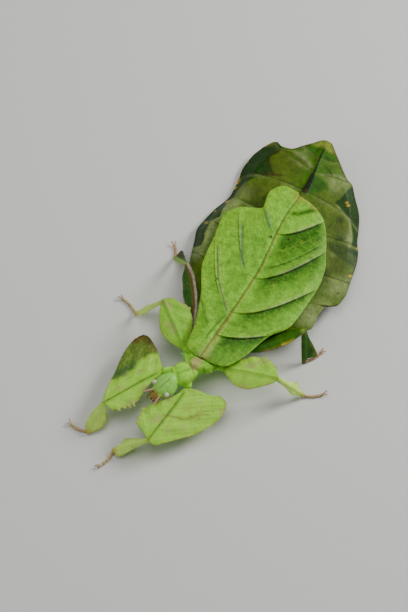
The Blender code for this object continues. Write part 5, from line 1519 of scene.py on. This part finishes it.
def own_marks(leg, marks, x, y, wavy, on_thigh, on_shin):
    """The marks that only this leg carries."""
    if leg == "fore_r":
        scar = patch_mark(wavy, y, SCAR, 1.2) * on_thigh
        return {"scar": scar, "teal": line_mark(wavy, y, TEAL_LINE, 1.4) * on_thigh,
                "scar_rim": scar * line_mark(wavy, y, SCAR_RIM, 1.7)}
    if leg == "fore_l":
        worn = bell(np.hypot(x - WORN_CORNER[0], y - WORN_CORNER[1]), 3.5, 4) * ramp(marks["rim"], 0.0, 0.2)
        streaks = np.maximum.reduce([line_mark(wavy, y, streak, 0.3) for streak in STREAKS])
        return {"streak": streaks * on_thigh, "rim": np.maximum(marks["rim"], worn)}
    if leg == "mid_r":
        return {"deep": on_thigh}
    if leg == "hind_l":
        return {"light": on_thigh * ramp(marks["place"], 0.45, 0.8) * (1 - marks["rear"]),
                "yellow": line_mark(x, y, HIND_YELLOW, 0.65) * on_thigh,
                "pale": np.exp(-((x - HIND_KNEE[0]) ** 2 + (y - HIND_KNEE[1]) ** 2) / 0.5)}
    if leg == "hind_r":
        # Painted shade on the rear lobe of the shin
        return {"ridge": marks["rear_rim"] * on_thigh, "red": marks["rear_inside"] * on_thigh,
                "pale": on_shin * (1 - ramp(marks["rear_side"], 0.2, 1.0)),
                "dark": on_shin * ramp(marks["rear_side"], 0.6, 1.6)}
    return {}


# %% Thigh, shin and foot in one row of rings
def leg_rings(leg):
    """Thigh, shin and foot, each started on the ring where the last one ends."""
    pair, side = leg.split("_")
    hip, knee, ankle = (vec(*p) for p in LEGS[leg][:3])
    at_hip, at_knee, at_ankle = joint_normals(leg)
    rear_share, front_share, shin_share = LOBE_SHARE.get(leg, (1.0, 1.0, 1.0))
    rear, front, shin_rows, teeth, bow = {
        "fore": (FORE_OUTER[side], FORE_INNER[side], FORE_SHIN[side], (None, FORE_TEETH), 0.0),
        "mid": (MID_REAR, MID_FRONT, MID_SHIN, (MID_TEETH, None), 0.4),
        "hind": (HIND_REAR, HIND_FRONT, HIND_SHIN, (None, None), -1.0),
    }[pair]
    thigh, marks = limb(hip, knee, LEGS[leg][4], scaled(rear, rear_share), scaled(front, front_share),
                        (at_hip, at_knee), teeth, bow, THIGH_ROWS)
    shin, shin_marks = limb(knee, ankle, LEGS[leg][5], *(scaled(rows, shin_share) for rows in shin_rows),
                            (at_knee, at_ankle))
    toes, toe_marks, path, aside = foot(leg, thigh.shape[1])
    inward = unit(vec(*COXA_ROOTS[leg]) - hip)
    middle = thigh[0].mean(axis=0)
    root = np.stack([middle + (thigh[0] - middle) * size + inward * sunk for sunk, size in ROOT_RINGS])
    shin, shin_marks = follow(thigh[-1], shin, shin_marks)
    toes, toe_marks = follow(shin[-1], toes, toe_marks)
    rings = np.concatenate([root, thigh, shin[1:], toes[1:]])
    whole = {}
    for mark in {**marks, **toe_marks}:
        pieces = [np.broadcast_to(marks.get(mark, np.zeros((1, 1)))[:1], root.shape[:2])]
        for part, found, skip in ((thigh, marks, 0), (shin, shin_marks, 1), (toes, toe_marks, 1)):
            pieces.append(np.broadcast_to(found.get(mark, np.zeros((1, 1))), part.shape[:2])[skip:])
        whole[mark] = np.concatenate(pieces)
    return rings, whole, len(root) + len(thigh), path, aside


# %% Make the legs
def make_leg(leg):
    """One skin from hip to toe, painted by marks along it and across it."""
    pair, side = leg.split("_")
    rings, marks, thigh_end, path, aside = leg_rings(leg)
    x, y = rings[..., 0], rings[..., 1]
    on_thigh = np.zeros(x.shape)
    on_thigh[:thigh_end] = 1
    on_shin = (1 - on_thigh) * (1 - marks["foot"])
    wavy = x + wander(x, y, 4.0, 0.3)
    marks["shaft"] = marks["shaft"] * on_thigh * SHAFT_STRENGTH[pair]
    marks["shin"] = on_shin
    marks["foot_start"] = on_shin * ramp(marks["place"], 0.8, 1.0)
    marks["pink"] = on_thigh * ramp(wander(x, y, 6.0, 1.0), 0.45, 1.0) * (1 - marks["shaft"])
    marks.update(own_marks(leg, marks, x, y, wavy, on_thigh, on_shin))
    finish, slot, layers = ((shaded_hind_limb_cuticle, "hind_limb_green", HIND_LAYERS) if pair == "hind" else
                            (limb_cuticle, "limb_green", LEG_LAYERS))
    shown = {mark: marks[mark] for mark, _, _ in layers if mark in marks}
    build("leg_" + leg, [(rings, shown)], finish,
          [f"{pair}_{length}_{side}" for length in ("femur", "tibia", "tarsus")])
    build("claws_" + leg, [claw(path, aside, sign) for _, sign in SIDES], tan_cuticle)


for leg in LEGS:
    make_leg(leg)
